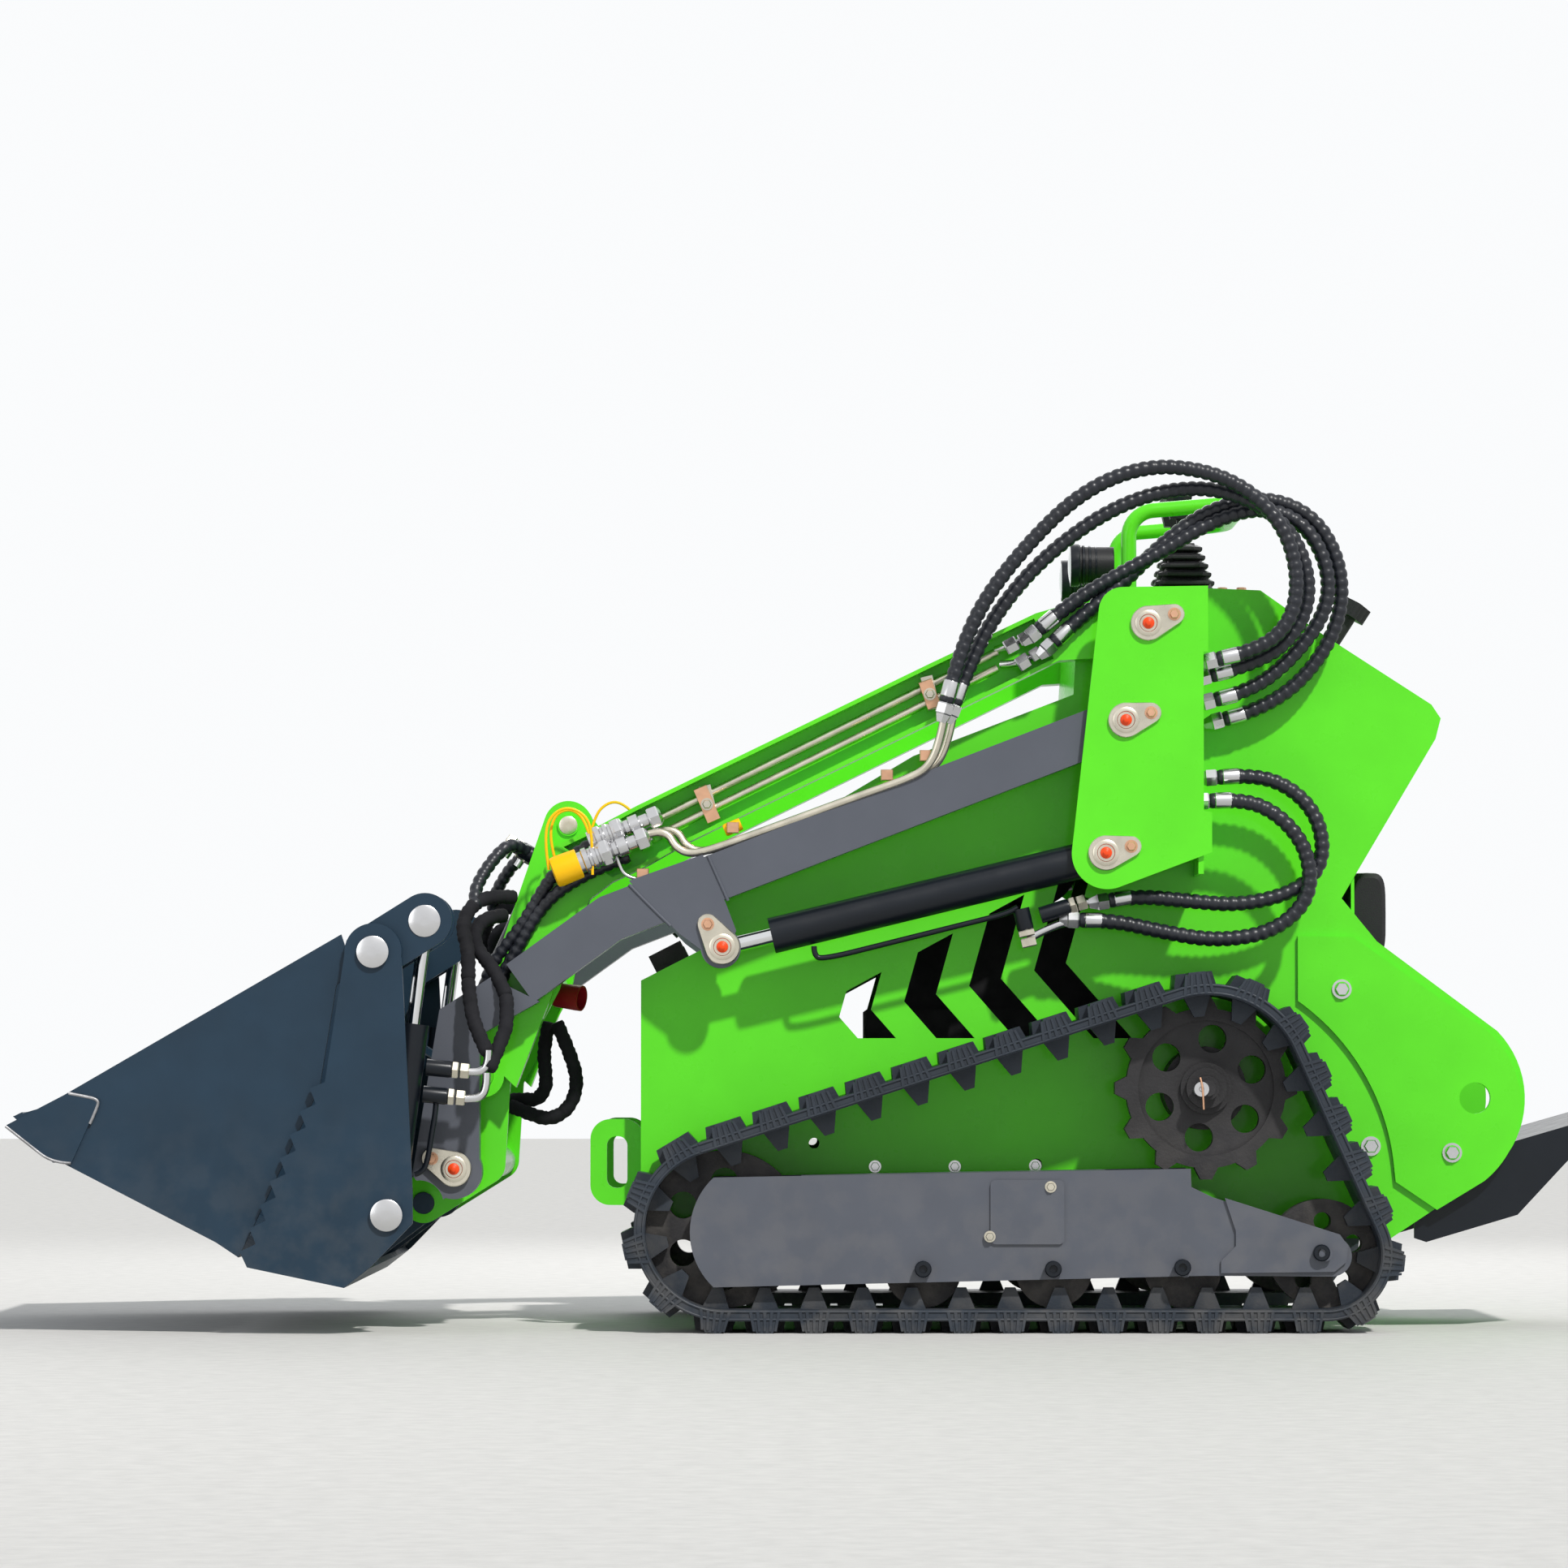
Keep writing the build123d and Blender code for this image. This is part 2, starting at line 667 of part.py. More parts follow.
def piston_rod(start, end, reach, bore, length, rod_r, eye_r, width):
    """A rod with its piston inside the barrel and its eye at end."""
    frame = along(end, start, reach)
    body = frame * (rod(rod_r, 0, length) + rod(bore - bore_slack, length - piston_t, length))
    body += cylinder_y(end, eye_r, reach - width / 2, reach + width / 2)
    return body


# Each row: name, base pin, rod pin, reach, bore radius, barrel radius, rod radius, rod shown, travel out,
# and the (radius, width) of the base eye and the rod eye
CYLINDERS = [
    ("lift", LIFT_BASE, LIFT_EYE, lift_reach, lift_bore_r, lift_barrel_r, lift_rod_r, lift_rod_shown, lift_travel,
     (30, 44), (26, 28)),
    ("tilt", TILT_BASE, TILT_EYE, tilt_reach, tilt_bore_r, tilt_barrel_r, tilt_rod_r, tilt_rod_shown, tilt_travel,
     (28, 42), (24, rod_eye_width)),
    ("clam", CLAM_BASE, CLAM_EYE, clam_reach, clam_bore_r, clam_barrel_r, clam_rod_r, clam_rod_shown, 0,
     (26, 34), (22, 30)),
]


def cylinders():
    for name, start, end, reach, bore, radius, rod_r, shown, travel, base_eye, rod_eye in CYLINDERS:
        run = hypot(end[0] - start[0], end[1] - start[1])
        length = run - shown
        piston_at = length - gland_t - travel - piston_gap - piston_t
        write_pair(f"{name}_barrel", barrel(start, end, reach, bore, radius, length, rod_r, *base_eye))
        write_pair(f"{name}_rod", piston_rod(start, end, reach, bore, run - piston_at, rod_r, *rod_eye))


# Bucket


def thick_line(points, thickness):
    """A folded upright sheet's outline, its thickness laid towards +X."""
    return polygon(points + [(x + thickness, z) for x, z in reversed(points)])


def serration(start, end, count):
    """A saw-toothed edge from one (X, Z) point to another."""
    tooth = (9, -23)
    points = []
    for number in range(count + 1):
        share = number / count
        x = start[0] + (end[0] - start[0]) * share
        z = start[1] + (end[1] - start[1]) * share
        points.append((x, z))
        if number < count:
            points.append((x + tooth[0], z + tooth[1]))
    return points


def bucket_back():
    """The rear half of the bucket: serrated cheeks, back sheet, foot sheet, hitch ears and clam bearings."""
    outline = [(-698, 578), (-707, 516), (-729, 370)] + serration((-751, 361), (-853, 122), 7)
    outline += [(-842, 99), (-700, 69), (-660, 101), (-600, 163), (-600, 208), (-610, 417), (-617, 553)]
    cheek_shape = polygon(outline) + disc(CLAM, 42)
    half = slab(cheek_shape, bucket_in, bucket_out)
    half += cylinder_y(CLAM, pin_r, bearing_in, bucket_out)
    for at in (CLAM, CLAM_BASE):
        half += cylinder_y(at, 23, bucket_out, bucket_out + 6)
    half += slab(hull((CLAM, 30), ((-690, 470), 20)), bearing_in, bearing_in + bearing_t)
    base_ear = hull((CLAM_BASE, 28), ((-690, 110), 20))
    ear_at = 25
    for near in (clam_reach - ear_at - ear_t, clam_reach + ear_at):
        half += slab(base_ear, near, near + ear_t)
    half += cylinder_y(CLAM_BASE, pin_r, clam_reach - ear_at - ear_t, clam_reach + ear_at + ear_t)
    front = [(-700, 80), (-806, 112), (-714, 356), (-697, 460), (-640, 440)]
    rear = [(TILT_EYE[0], TILT_EYE[1] + 28), (-536, 362), (-566, 188), (HITCH[0], 156)]
    ear = polygon(front + rear) + disc(TILT_EYE, 28) + disc(HITCH, 31)
    for near in (inner_ear_in, outer_ear_in):
        half += slab(ear, near, near + ear_t)
    half += cylinder_y(HITCH, pin_r, inner_ear_in, knuckle_out + pin_stand)
    low_sheet = thick_line(BACK_LINE[:3], sheet_t)
    high_sheet = thick_line(BACK_LINE[2:], sheet_t)
    foot = polygon(BACK_FOOT + [(-670, 103), (-702, 78), (-840, 107)])
    middle = slab(low_sheet + foot, -bucket_in, bucket_in) + slab(high_sheet, -bearing_in, bearing_in)
    return half + mirror(half, about=Plane.XZ) + middle


def clam():
    """The front half of the bucket, which opens upwards about its bearings."""
    bottom = [(-1188, 320), (-1110, 249), (-889, 135), (-856, 113)]
    top = [(-738, 362), (-714, 512), (-690, 535), (-707, 587), (-1103, 357), (-1144, 333)]
    lobe = hull((CLAM, 40), (CLAM_EYE, 40))
    half = slab(polygon(bottom + top) + lobe, clam_in, clam_out)
    half += slab(lobe, clam_lobe_in, clam_lobe_in + clam_lobe_t)
    half += cylinder_y(CLAM, 28, clam_lobe_in, clam_in)
    half -= cylinder_y(CLAM, pin_r + bore_slack, clam_lobe_in, clam_out)
    wear = polygon([(-1197, 307), (-1128, 252), (-1101, 252), (-1060, 344), (-1107, 354)])
    half += slab(wear, clam_in, clam_out + wear_t)
    floor = slab(polygon(bottom + [(-852, 122), (-885, 144), (-1104, 257), (-1176, 326)]), -clam_in, clam_in)
    return half + mirror(half, about=Plane.XZ) + floor


def bucket():
    write("bucket_back", bucket_back())
    write("clam", clam())


undercarriage()
chassis()
platform()
arms()
knuckle()
cylinders()
bucket()
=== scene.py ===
"""Looks of the mini skid steer loader: paint, rubber, steel, hoses, tubes, fasteners, lamps and caps."""

import json
import math

import bpy
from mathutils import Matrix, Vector


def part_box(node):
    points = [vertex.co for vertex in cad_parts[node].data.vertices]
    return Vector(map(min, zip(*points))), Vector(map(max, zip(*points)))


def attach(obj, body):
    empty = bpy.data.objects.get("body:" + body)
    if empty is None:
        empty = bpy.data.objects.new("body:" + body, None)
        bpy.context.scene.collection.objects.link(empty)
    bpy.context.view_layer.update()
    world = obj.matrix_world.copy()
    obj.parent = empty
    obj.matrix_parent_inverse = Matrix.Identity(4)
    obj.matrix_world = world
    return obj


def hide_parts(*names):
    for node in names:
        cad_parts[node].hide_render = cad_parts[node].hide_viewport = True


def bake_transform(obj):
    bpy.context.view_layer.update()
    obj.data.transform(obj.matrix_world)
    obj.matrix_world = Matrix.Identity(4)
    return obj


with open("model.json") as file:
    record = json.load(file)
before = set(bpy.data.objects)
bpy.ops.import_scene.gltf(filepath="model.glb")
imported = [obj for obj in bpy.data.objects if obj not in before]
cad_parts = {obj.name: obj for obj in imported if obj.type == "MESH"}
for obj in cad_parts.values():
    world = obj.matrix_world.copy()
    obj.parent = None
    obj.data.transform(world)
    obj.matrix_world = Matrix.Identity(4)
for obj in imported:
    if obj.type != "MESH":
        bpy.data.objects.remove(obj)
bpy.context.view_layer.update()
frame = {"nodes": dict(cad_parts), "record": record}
nodes = frame["nodes"]

# The photograph's view: its size and principal point in pixels, and the camera's place in metres
PHOTO = 1932
CENTRE_X, HORIZON_Y = 950, 1330
FOCAL = 7750
EYE = Vector((-0.075, -9.75, 0.374))
SENSOR = 36
LEFT, RIGHT = -1, 1
SIDE_NAMES = {LEFT: "left", RIGHT: "right"}

# Outer faces of the main plates, as distances from the centre plane in metres
PLATE_FACE = 0.262
GUARD_FACE = 0.270
LOWER_ARM_FACE = 0.374
TOWER_FACE = 0.390
FRAME_FACE = 0.430
CLAM_FACE = 0.502
BUCKET_FACE = 0.526

# Middle planes of the cylinders, from the centre plane
CLAM_CYLINDER = 0.455
TILT_CYLINDER = 0.221
LIFT_CYLINDER = 0.349


def seen(point, y):
    """The place in metres that shows at a pixel of the photograph, on the plane of that Y."""
    scale = (y - EYE.y) / FOCAL
    return Vector((EYE.x + (point[0] - CENTRE_X) * scale, y, EYE.z + (HORIZON_Y - point[1]) * scale))


def camera():
    data = bpy.data.cameras.new("view")
    data.sensor_width = SENSOR
    data.lens = FOCAL / PHOTO * SENSOR
    obj = bpy.data.objects.new("view", data)
    bpy.context.collection.objects.link(obj)
    pitch = math.atan((HORIZON_Y - PHOTO / 2) / FOCAL)
    yaw = math.atan((PHOTO / 2 - CENTRE_X) / FOCAL)
    obj.location = EYE
    obj.rotation_euler = (math.pi / 2 + pitch, 0, -yaw)
    bpy.context.scene.camera = obj


# Light: name, kind, place, power, the sun's angle or the lamp's width, colour
WHITE = (1, 1, 1)
LIGHTS = [
    ("key", "SUN", (1.7, -3.6, 4.6), 3.1, math.radians(2.5), (1, 0.98, 0.95)),
    ("fill", "AREA", (-3.4, -3.6, 1.6), 25, 2.5, WHITE),
    ("back", "AREA", (0.5, 3.5, 3.0), 50, 2.5, WHITE),
]
MACHINE_MIDDLE = Vector((0, 0, 0.5))
SKY_COLOUR, SKY_POWER = (0.86, 0.93, 1, 1), 0.4
BACKDROP_COLOUR, BACKDROP_POWER = (0.96, 0.97, 0.98, 1), 1
FLOOR_WIDTH = 60
FLOOR_COLOUR = (0.62, 0.61, 0.59)


def lamp(name, kind, place, power, size, colour):
    """A sun or an area lamp that points at the machine's middle."""
    data = bpy.data.lights.new(name, kind)
    data.energy = power
    data.color = colour
    if kind == "SUN":
        data.angle = size
    else:
        data.size = size
    obj = bpy.data.objects.new(name, data)
    obj.location = place
    obj.rotation_euler = (MACHINE_MIDDLE - Vector(place)).to_track_quat("-Z", "Y").to_euler()
    bpy.context.collection.objects.link(obj)


def sky():
    """A bluish sky that lights the machine, and a near white one for the lens, reflections and glass."""
    world = bpy.data.worlds.new("sky")
    bpy.context.scene.world = world
    world.use_nodes = True
    tree = world.node_tree
    light = tree.nodes["Background"]
    light.inputs["Color"].default_value = SKY_COLOUR
    light.inputs["Strength"].default_value = SKY_POWER
    backdrop = tree.nodes.new("ShaderNodeBackground")
    backdrop.inputs["Color"].default_value = BACKDROP_COLOUR
    backdrop.inputs["Strength"].default_value = BACKDROP_POWER
    rays = tree.nodes.new("ShaderNodeLightPath")
    seen_rays = rays.outputs["Is Camera Ray"]
    for kind in ("Is Glossy Ray", "Is Transmission Ray"):
        either = tree.nodes.new("ShaderNodeMath")
        either.operation = "MAXIMUM"
        tree.links.new(seen_rays, either.inputs[0])
        tree.links.new(rays.outputs[kind], either.inputs[1])
        seen_rays = either.outputs[0]
    pick = tree.nodes.new("ShaderNodeMixShader")
    tree.links.new(seen_rays, pick.inputs[0])
    tree.links.new(light.outputs[0], pick.inputs[1])
    tree.links.new(backdrop.outputs[0], pick.inputs[2])
    tree.links.new(pick.outputs[0], tree.nodes["World Output"].inputs[0])


def studio():
    """A pale floor, a sun-like key from above on the near right, soft fills and the sky."""
    bpy.context.scene.view_settings.view_transform = "Standard"
    sky()
    for light in LIGHTS:
        lamp(*light)
    bpy.ops.mesh.primitive_plane_add(size=FLOOR_WIDTH, location=(0, 0, 0))
    floor = bpy.context.object
    floor.name = "floor"
    floor.data.materials.append(finish("floor_paint", FLOOR_COLOUR, 0.75, grain=0.06, grain_scale=30))


# Materials

COAT_ROUGHNESS = 0.08
NOISE_SPAN = (0.3, 0.7)
GLOSS_SPAN = (0.85, 1.15)
BUMP_HEIGHT = 0.001
DUST_HEIGHTS = (0.02, 0.35)
DUST_SPOTS = (0.42, 0.62)
DUST_SCALE = 25
DUST_COLOUR = (0.3, 0.27, 0.23, 1)
NONE, FULL = (0, 0, 0, 1), (1, 1, 1, 1)


def finish(name, colour, rough, metal=0.0, coat=0.0, shine=0.5, bump=0.0, bump_scale=300, grain=0.0,
           grain_scale=12, dust=0.0):
    """A procedural surface: a colour that varies softly, a fine bump, and dust that gathers low down."""
    mat = bpy.data.materials.new(name)
    mat.use_nodes = True
    tree = mat.node_tree
    shader = tree.nodes["Principled BSDF"]
    shader.inputs["Metallic"].default_value = metal
    shader.inputs["Specular IOR Level"].default_value = shine
    shader.inputs["Coat Weight"].default_value = coat
    shader.inputs["Coat Roughness"].default_value = COAT_ROUGHNESS
    place = tree.nodes.new("ShaderNodeTexCoord")

    def noise(scale, detail):
        node = tree.nodes.new("ShaderNodeTexNoise")
        node.inputs["Scale"].default_value = scale
        node.inputs["Detail"].default_value = detail
        tree.links.new(place.outputs["Object"], node.inputs["Vector"])
        return node.outputs["Fac"]

    def ramp(source, span, first, last):
        node = tree.nodes.new("ShaderNodeValToRGB")
        for element, position, shade in zip(node.color_ramp.elements, span, (first, last)):
            element.position = position
            element.color = shade
        tree.links.new(source, node.inputs["Fac"])
        return node.outputs["Color"]

    dark = tuple(c * (1 - grain) for c in colour) + (1,)
    light = tuple(min(1, c * (1 + grain)) for c in colour) + (1,)
    base = ramp(noise(grain_scale, detail=6), NOISE_SPAN, dark, light)
    if dust:
        height = tree.nodes.new("ShaderNodeSeparateXYZ")
        tree.links.new(place.outputs["Object"], height.inputs["Vector"])
        low = ramp(height.outputs["Z"], DUST_HEIGHTS, (dust, dust, dust, 1), NONE)
        spots = ramp(noise(DUST_SCALE, detail=9), DUST_SPOTS, NONE, FULL)
        both = tree.nodes.new("ShaderNodeMath")
        both.operation = "MULTIPLY"
        tree.links.new(low, both.inputs[0])
        tree.links.new(spots, both.inputs[1])
        mix = tree.nodes.new("ShaderNodeMix")
        mix.data_type = "RGBA"
        mix.inputs["B"].default_value = DUST_COLOUR
        tree.links.new(both.outputs["Value"], mix.inputs["Factor"])
        tree.links.new(base, mix.inputs["A"])
        base = mix.outputs["Result"]
    tree.links.new(base, shader.inputs["Base Color"])
    smooth = (rough * GLOSS_SPAN[0],) * 3 + (1,)
    dull = (min(1, rough * GLOSS_SPAN[1]),) * 3 + (1,)
    gloss = ramp(noise(grain_scale * 3, detail=4), NOISE_SPAN, smooth, dull)
    tree.links.new(gloss, shader.inputs["Roughness"])
    if bump:
        lift = tree.nodes.new("ShaderNodeBump")
        lift.inputs["Strength"].default_value = bump
        lift.inputs["Distance"].default_value = BUMP_HEIGHT
        tree.links.new(noise(bump_scale, detail=3), lift.inputs["Height"])
        tree.links.new(lift.outputs["Normal"], shader.inputs["Normal"])
    return mat


# Each surface: its colour, its roughness and what else sets it apart
SURFACES = {
    "green": ((0.105, 0.7, 0.016), 0.3, {"coat": 0.2, "shine": 0.2, "bump": 0.05, "bump_scale": 450,
                                         "grain": 0.04}),
    "gray": ((0.088, 0.096, 0.118), 0.38, {"coat": 0.1, "shine": 0.3, "bump": 0.06, "bump_scale": 420,
                                           "grain": 0.05, "dust": 0.12}),
    "bucket": ((0.011, 0.03, 0.053), 0.42, {"coat": 0.08, "shine": 0.25, "bump": 0.07, "bump_scale": 380,
                                            "grain": 0.1, "dust": 0.08}),
    "black": ((0.006, 0.0085, 0.013), 0.34, {"coat": 0.06, "shine": 0.25, "bump": 0.05, "grain": 0.1}),
    "rubber": ((0.016, 0.023, 0.034), 0.5, {"shine": 0.4, "bump": 0.25, "bump_scale": 260, "grain": 0.2,
                                            "dust": 0.14}),
    "hose": ((0.012, 0.014, 0.02), 0.36, {"shine": 0.4, "bump": 0.06, "grain": 0.15}),
    "cloth": ((0.014, 0.014, 0.017), 0.85, {"shine": 0.2, "bump": 0.7, "bump_scale": 900, "grain": 0.25}),
    "cast": ((0.03, 0.029, 0.031), 0.5, {"metal": 0.2, "shine": 0.3, "bump": 0.5, "bump_scale": 240,
                                         "grain": 0.35, "dust": 0.2}),
    "steel": ((0.6, 0.6, 0.61), 0.24, {"metal": 1, "bump": 0.05, "grain": 0.08}),
    "chrome": ((0.72, 0.73, 0.74), 0.09, {"metal": 1, "grain": 0.02}),
    "worn": ((0.3, 0.3, 0.31), 0.45, {"metal": 0.6, "bump": 0.3, "bump_scale": 600, "grain": 0.4,
                                      "grain_scale": 60}),
    "zinc": ((0.62, 0.58, 0.48), 0.3, {"metal": 1, "bump": 0.06, "grain": 0.14, "grain_scale": 30}),
    "copper": ((0.66, 0.38, 0.24), 0.36, {"metal": 0.8, "bump": 0.1, "grain": 0.15, "grain_scale": 40}),
    "yellow": ((0.95, 0.52, 0.0), 0.42, {"shine": 0.3, "bump": 0.05, "grain": 0.05}),
    "orange": ((0.85, 0.07, 0.01), 0.42, {"shine": 0.3, "bump": 0.05, "grain": 0.05}),
    "maroon": ((0.25, 0.006, 0.012), 0.4, {"shine": 0.3, "bump": 0.05, "grain": 0.05}),
    "plastic": ((0.012, 0.012, 0.014), 0.5, {"shine": 0.3, "bump": 0.25, "bump_scale": 500, "grain": 0.1}),
    "lens": ((0.75, 0.78, 0.8), 0.08, {"metal": 0.2, "coat": 1, "grain": 0.05}),
    "dark": ((0.008, 0.008, 0.009), 0.7, {"shine": 0.2, "bump": 0.2, "grain": 0.2}),
}

SLOT_FINISH = {
    "green_paint": "green", "gray_paint": "gray", "bucket_paint": "bucket", "black_paint": "black",
    "rubber": "rubber", "hose_rubber": "hose", "cast_black": "cast", "chrome_rod": "chrome", "engine": "dark",
    "black_plastic": "plastic", "zinc": "zinc",
}


def materials():
    return {name: finish(name, colour, rough, **rest) for name, (colour, rough, rest) in SURFACES.items()}


def paint_nodes(mats):
    """Gives each carried-over solid its surface."""
    slots = {s["node"]: s["material_slot"] for s in frame["record"]["subparts"]}
    for name, obj in nodes.items():
        obj.data.materials.clear()
        obj.data.materials.append(mats[SLOT_FINISH[slots[name]]])


# Shapes

HEX = 6
SHARP_EDGE = math.radians(35)
BEVEL = 0.0012
LEAST_INSET_SHARE = 0.1
TINY = 1e-6


def mesh_piece(name, verts, faces, mat, body, smooth=True):
    """A mesh that rides on a body, or on none yet."""
    mesh = bpy.data.meshes.new(name)
    mesh.from_pydata([tuple(v) for v in verts], [], faces)
    mesh.materials.append(mat)
    obj = bpy.data.objects.new(name, mesh)
    bpy.context.collection.objects.link(obj)
    for face in mesh.polygons:
        face.use_smooth = smooth
    if body:
        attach(obj, body)
    return obj


def merged(name, parts, mat, body, smooth=True):
    """One piece from several (verts, faces)."""
    verts, faces = [], []
    for part_verts, part_faces in parts:
        start = len(verts)
        verts += part_verts
        faces += [[start + i for i in face] for face in part_faces]
    obj = mesh_piece(name, verts, faces, mat, body, smooth)
    if smooth:
        split = obj.modifiers.new("edges", "EDGE_SPLIT")
        split.split_angle = SHARP_EDGE
    return obj


def stacked(rings):
    """A closed skin over rings of one number of points, as (verts, faces)."""
    sides = len(rings[0])
    verts = [point for ring in rings for point in ring]
    faces = []
    for ring in range(len(rings) - 1):
        low, high = ring * sides, (ring + 1) * sides
        for k in range(sides):
            after = (k + 1) % sides
            faces.append([low + k, low + after, high + after, high + k])
    faces.append(list(range(sides))[::-1])
    faces.append([(len(rings) - 1) * sides + k for k in range(sides)])
    return verts, faces


def turned(profile, place, axis, sides=24):
    """A shape turned round an axis from (radius, distance along the axis) pairs."""
    spin = Vector(axis).to_track_quat("Z", "Y").to_matrix()
    rings = []
    for radius, height in profile:
        ring = []
        for k in range(sides):
            angle = 2 * math.pi * k / sides
            point = Vector((radius * math.cos(angle), radius * math.sin(angle), height))
            ring.append(Vector(place) + spin @ point)
        rings.append(ring)
    return stacked(rings)


def along(first, last, profile, sides=24):
    """A turned shape whose axis runs from one place towards another."""
    return turned(profile, first, (last - first).normalized(), sides)


def scaled(shares, radius, height=1):
    """A profile from shares of a radius and of a height; with no height the second values are metres."""
    return [(radius * out, height * up) for out, up in shares]


def nut_profile(radius, length, share, chamfer):
    """A nut whose two ends narrow to a share of its radius over the chamfer."""
    return [(radius * share, 0), (radius, chamfer), (radius, length - chamfer), (radius * share, length)]


def flat_plate(outline, face, side, thickness, bevel=BEVEL):
    """An (X, Z) outline as a plate that lies on a face at one side, its outer rim beveled."""
    middle = sum((Vector(p) for p in outline), Vector((0, 0))) / len(outline)
    rings = []
    for y, inset in ((face, 0), (face + thickness - bevel, 0), (face + thickness, bevel)):
        ring = []
        for point in outline:
            arm = Vector(point) - middle
            place = middle + arm * max(LEAST_INSET_SHARE, 1 - inset / max(arm.length, TINY))
            ring.append(Vector((place.x, side * y, place.y)))
        rings.append(ring if side == LEFT else ring[::-1])
    return stacked(rings)


def arc_points(centre, radius, start, turn, steps):
    """Points round part of a circle, both ends with them."""
    angles = [start + turn * k / steps for k in range(steps + 1)]
    return [(centre[0] + radius * math.cos(a), centre[1] + radius * math.sin(a)) for a in angles]


def teardrop(at, tail, radius, tail_radius):
    """The outline of a round plate drawn out to a small round end, as (X, Z) points."""
    heading = math.atan2(tail[1] - at[1], tail[0] - at[0])
    opening = math.acos((radius - tail_radius) / math.hypot(tail[0] - at[0], tail[1] - at[1]))
    big = arc_points(at, radius, heading + opening, 2 * math.pi - 2 * opening, 24)
    return big + arc_points(tail, tail_radius, heading - opening, 2 * opening, 12)


# A bolt's washer and head, as shares of the head's radius and height
WASHER_SHARES = [(1.35, 0), (1.35, 0.3), (0.7, 0.3)]
HEAD_SHARES = [(0.96, 0.3), (1, 0.4), (1, 0.9), (0.86, 1.1)]


def hex_bolt(place, axis, across, height):
    """A bolt head on a washer."""
    radius = across / math.sqrt(3)
    washer = turned(scaled(WASHER_SHARES, radius, height), place, axis, sides=20)
    return [washer, turned(scaled(HEAD_SHARES, radius, height), place, axis, HEX)]


def line_curve(name, points, radius):
    """A smooth line near its points, round where it has a radius."""
    curve = bpy.data.curves.new(name, "CURVE")
    curve.dimensions = "3D"
    spline = curve.splines.new("NURBS")
    spline.points.add(len(points) - 1)
    for point, place in zip(spline.points, points):
        point.co = (*place, 1)
    spline.order_u = 3
    spline.use_endpoint_u = True
    spline.resolution_u = 10
    curve.bevel_depth = radius
    curve.bevel_resolution = 4
    curve.use_fill_caps = True
    return curve


def tube(name, points, radius, mat, body):
    """A smooth bent tube on one body."""
    obj = bpy.data.objects.new(name, line_curve(name, points, radius))
    obj.data.materials.append(mat)
    bpy.context.collection.objects.link(obj)
    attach(obj, body)


def smooth_line(points):
    """The points along a route's smooth line."""
    source = bpy.data.objects.new("route", line_curve("route", points, 0))
    bpy.context.collection.objects.link(source)
    graph = bpy.context.evaluated_depsgraph_get()
    line = bpy.data.meshes.new_from_object(source.evaluated_get(graph))
    path = [v.co.copy() for v in line.vertices]
    bpy.data.objects.remove(source)
    return path


HOSE_SIDES = 12
LEAST_RINGS = 8


def ribbed(path, radius, pitch, waves):
    """A hose in a spiral guard, rings that swell and shrink along a line, with the line's length."""
    total = sum((b - a).length for a, b in zip(path, path[1:]))
    count = max(LEAST_RINGS, int(total / pitch) * len(waves))
    angles = [2 * math.pi * k / HOSE_SIDES for k in range(HOSE_SIDES)]
    rings = []
    side = None
    index, gone = 0, 0.0
    for number in range(count + 1):
        goal = total * number / count
        while index < len(path) - 2 and gone + (path[index + 1] - path[index]).length < goal:
            gone += (path[index + 1] - path[index]).length
            index += 1
        step = path[index + 1] - path[index]
        share = min(1, (goal - gone) / max(step.length, 1e-9))
        place = path[index] + step * share
        run = step.normalized()
        side = run.orthogonal() if side is None else (side - run * side.dot(run))
        side.normalize()
        over = run.cross(side)
        size = radius + waves[number % len(waves)]
        rings.append([place + (side * math.cos(a) + over * math.sin(a)) * size for a in angles])
    return stacked(rings), total


# How far a hose's skin swells over one turn of its spiral guard, or of its cloth sleeve
SPIRAL = (-0.0014, 0.0003, 0.0007, 0.0003)
SLEEVE = (-0.0008, 0.0006, -0.0002, 0.0009, 0.0001)
SPIRAL_PITCH = 0.0135
HOSE_RADIUS = 0.0112

# A hose's fitting: shares of the hose's radius, and metres from its end
CRIMP = [(1.04, -0.034), (1.1, -0.032), (1.1, -0.01), (0.8, -0.006), (0.8, 0)]
FITTING_NUT = [(1.1, 0), (1.24, 0.002), (1.24, 0.016), (1.1, 0.018), (0.7, 0.03)]


def end_fitting(name, end, run, radius, mats, body):
    """A crimped sleeve and its nut where a hose meets its port."""
    crimp = turned(scaled(CRIMP, radius), end, run, sides=18)
    nut = turned(scaled(FITTING_NUT, radius), end, run, HEX)
    return [merged(f"{name}_crimp", [crimp], mats["steel"], body),
            merged(f"{name}_nut", [nut], mats["steel"], body, smooth=False)]


def hose(name, points, mats, bodies, radius=HOSE_RADIUS, finish_name="hose", waves=SPIRAL, pitch=SPIRAL_PITCH,
         fittings=True, free=True):
    """A guarded hose that bends between its bodies where it has two; the free argument is not used."""
    path = smooth_line(points)
    (verts, faces), total = ribbed(path, radius, pitch, waves)
    obj = mesh_piece(name, verts, faces, mats[finish_name], None)
    ends = []
    if fittings:
        first_run, last_run = (path[0] - path[2]).normalized(), (path[-1] - path[-3]).normalized()
        ends += end_fitting(f"{name}_start", path[0], first_run, radius, mats, bodies[0])
        ends += end_fitting(f"{name}_end", path[-1], last_run, radius, mats, bodies[-1])
    if len(bodies) == 2:
        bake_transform(obj)
    else:
        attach(obj, bodies[0])


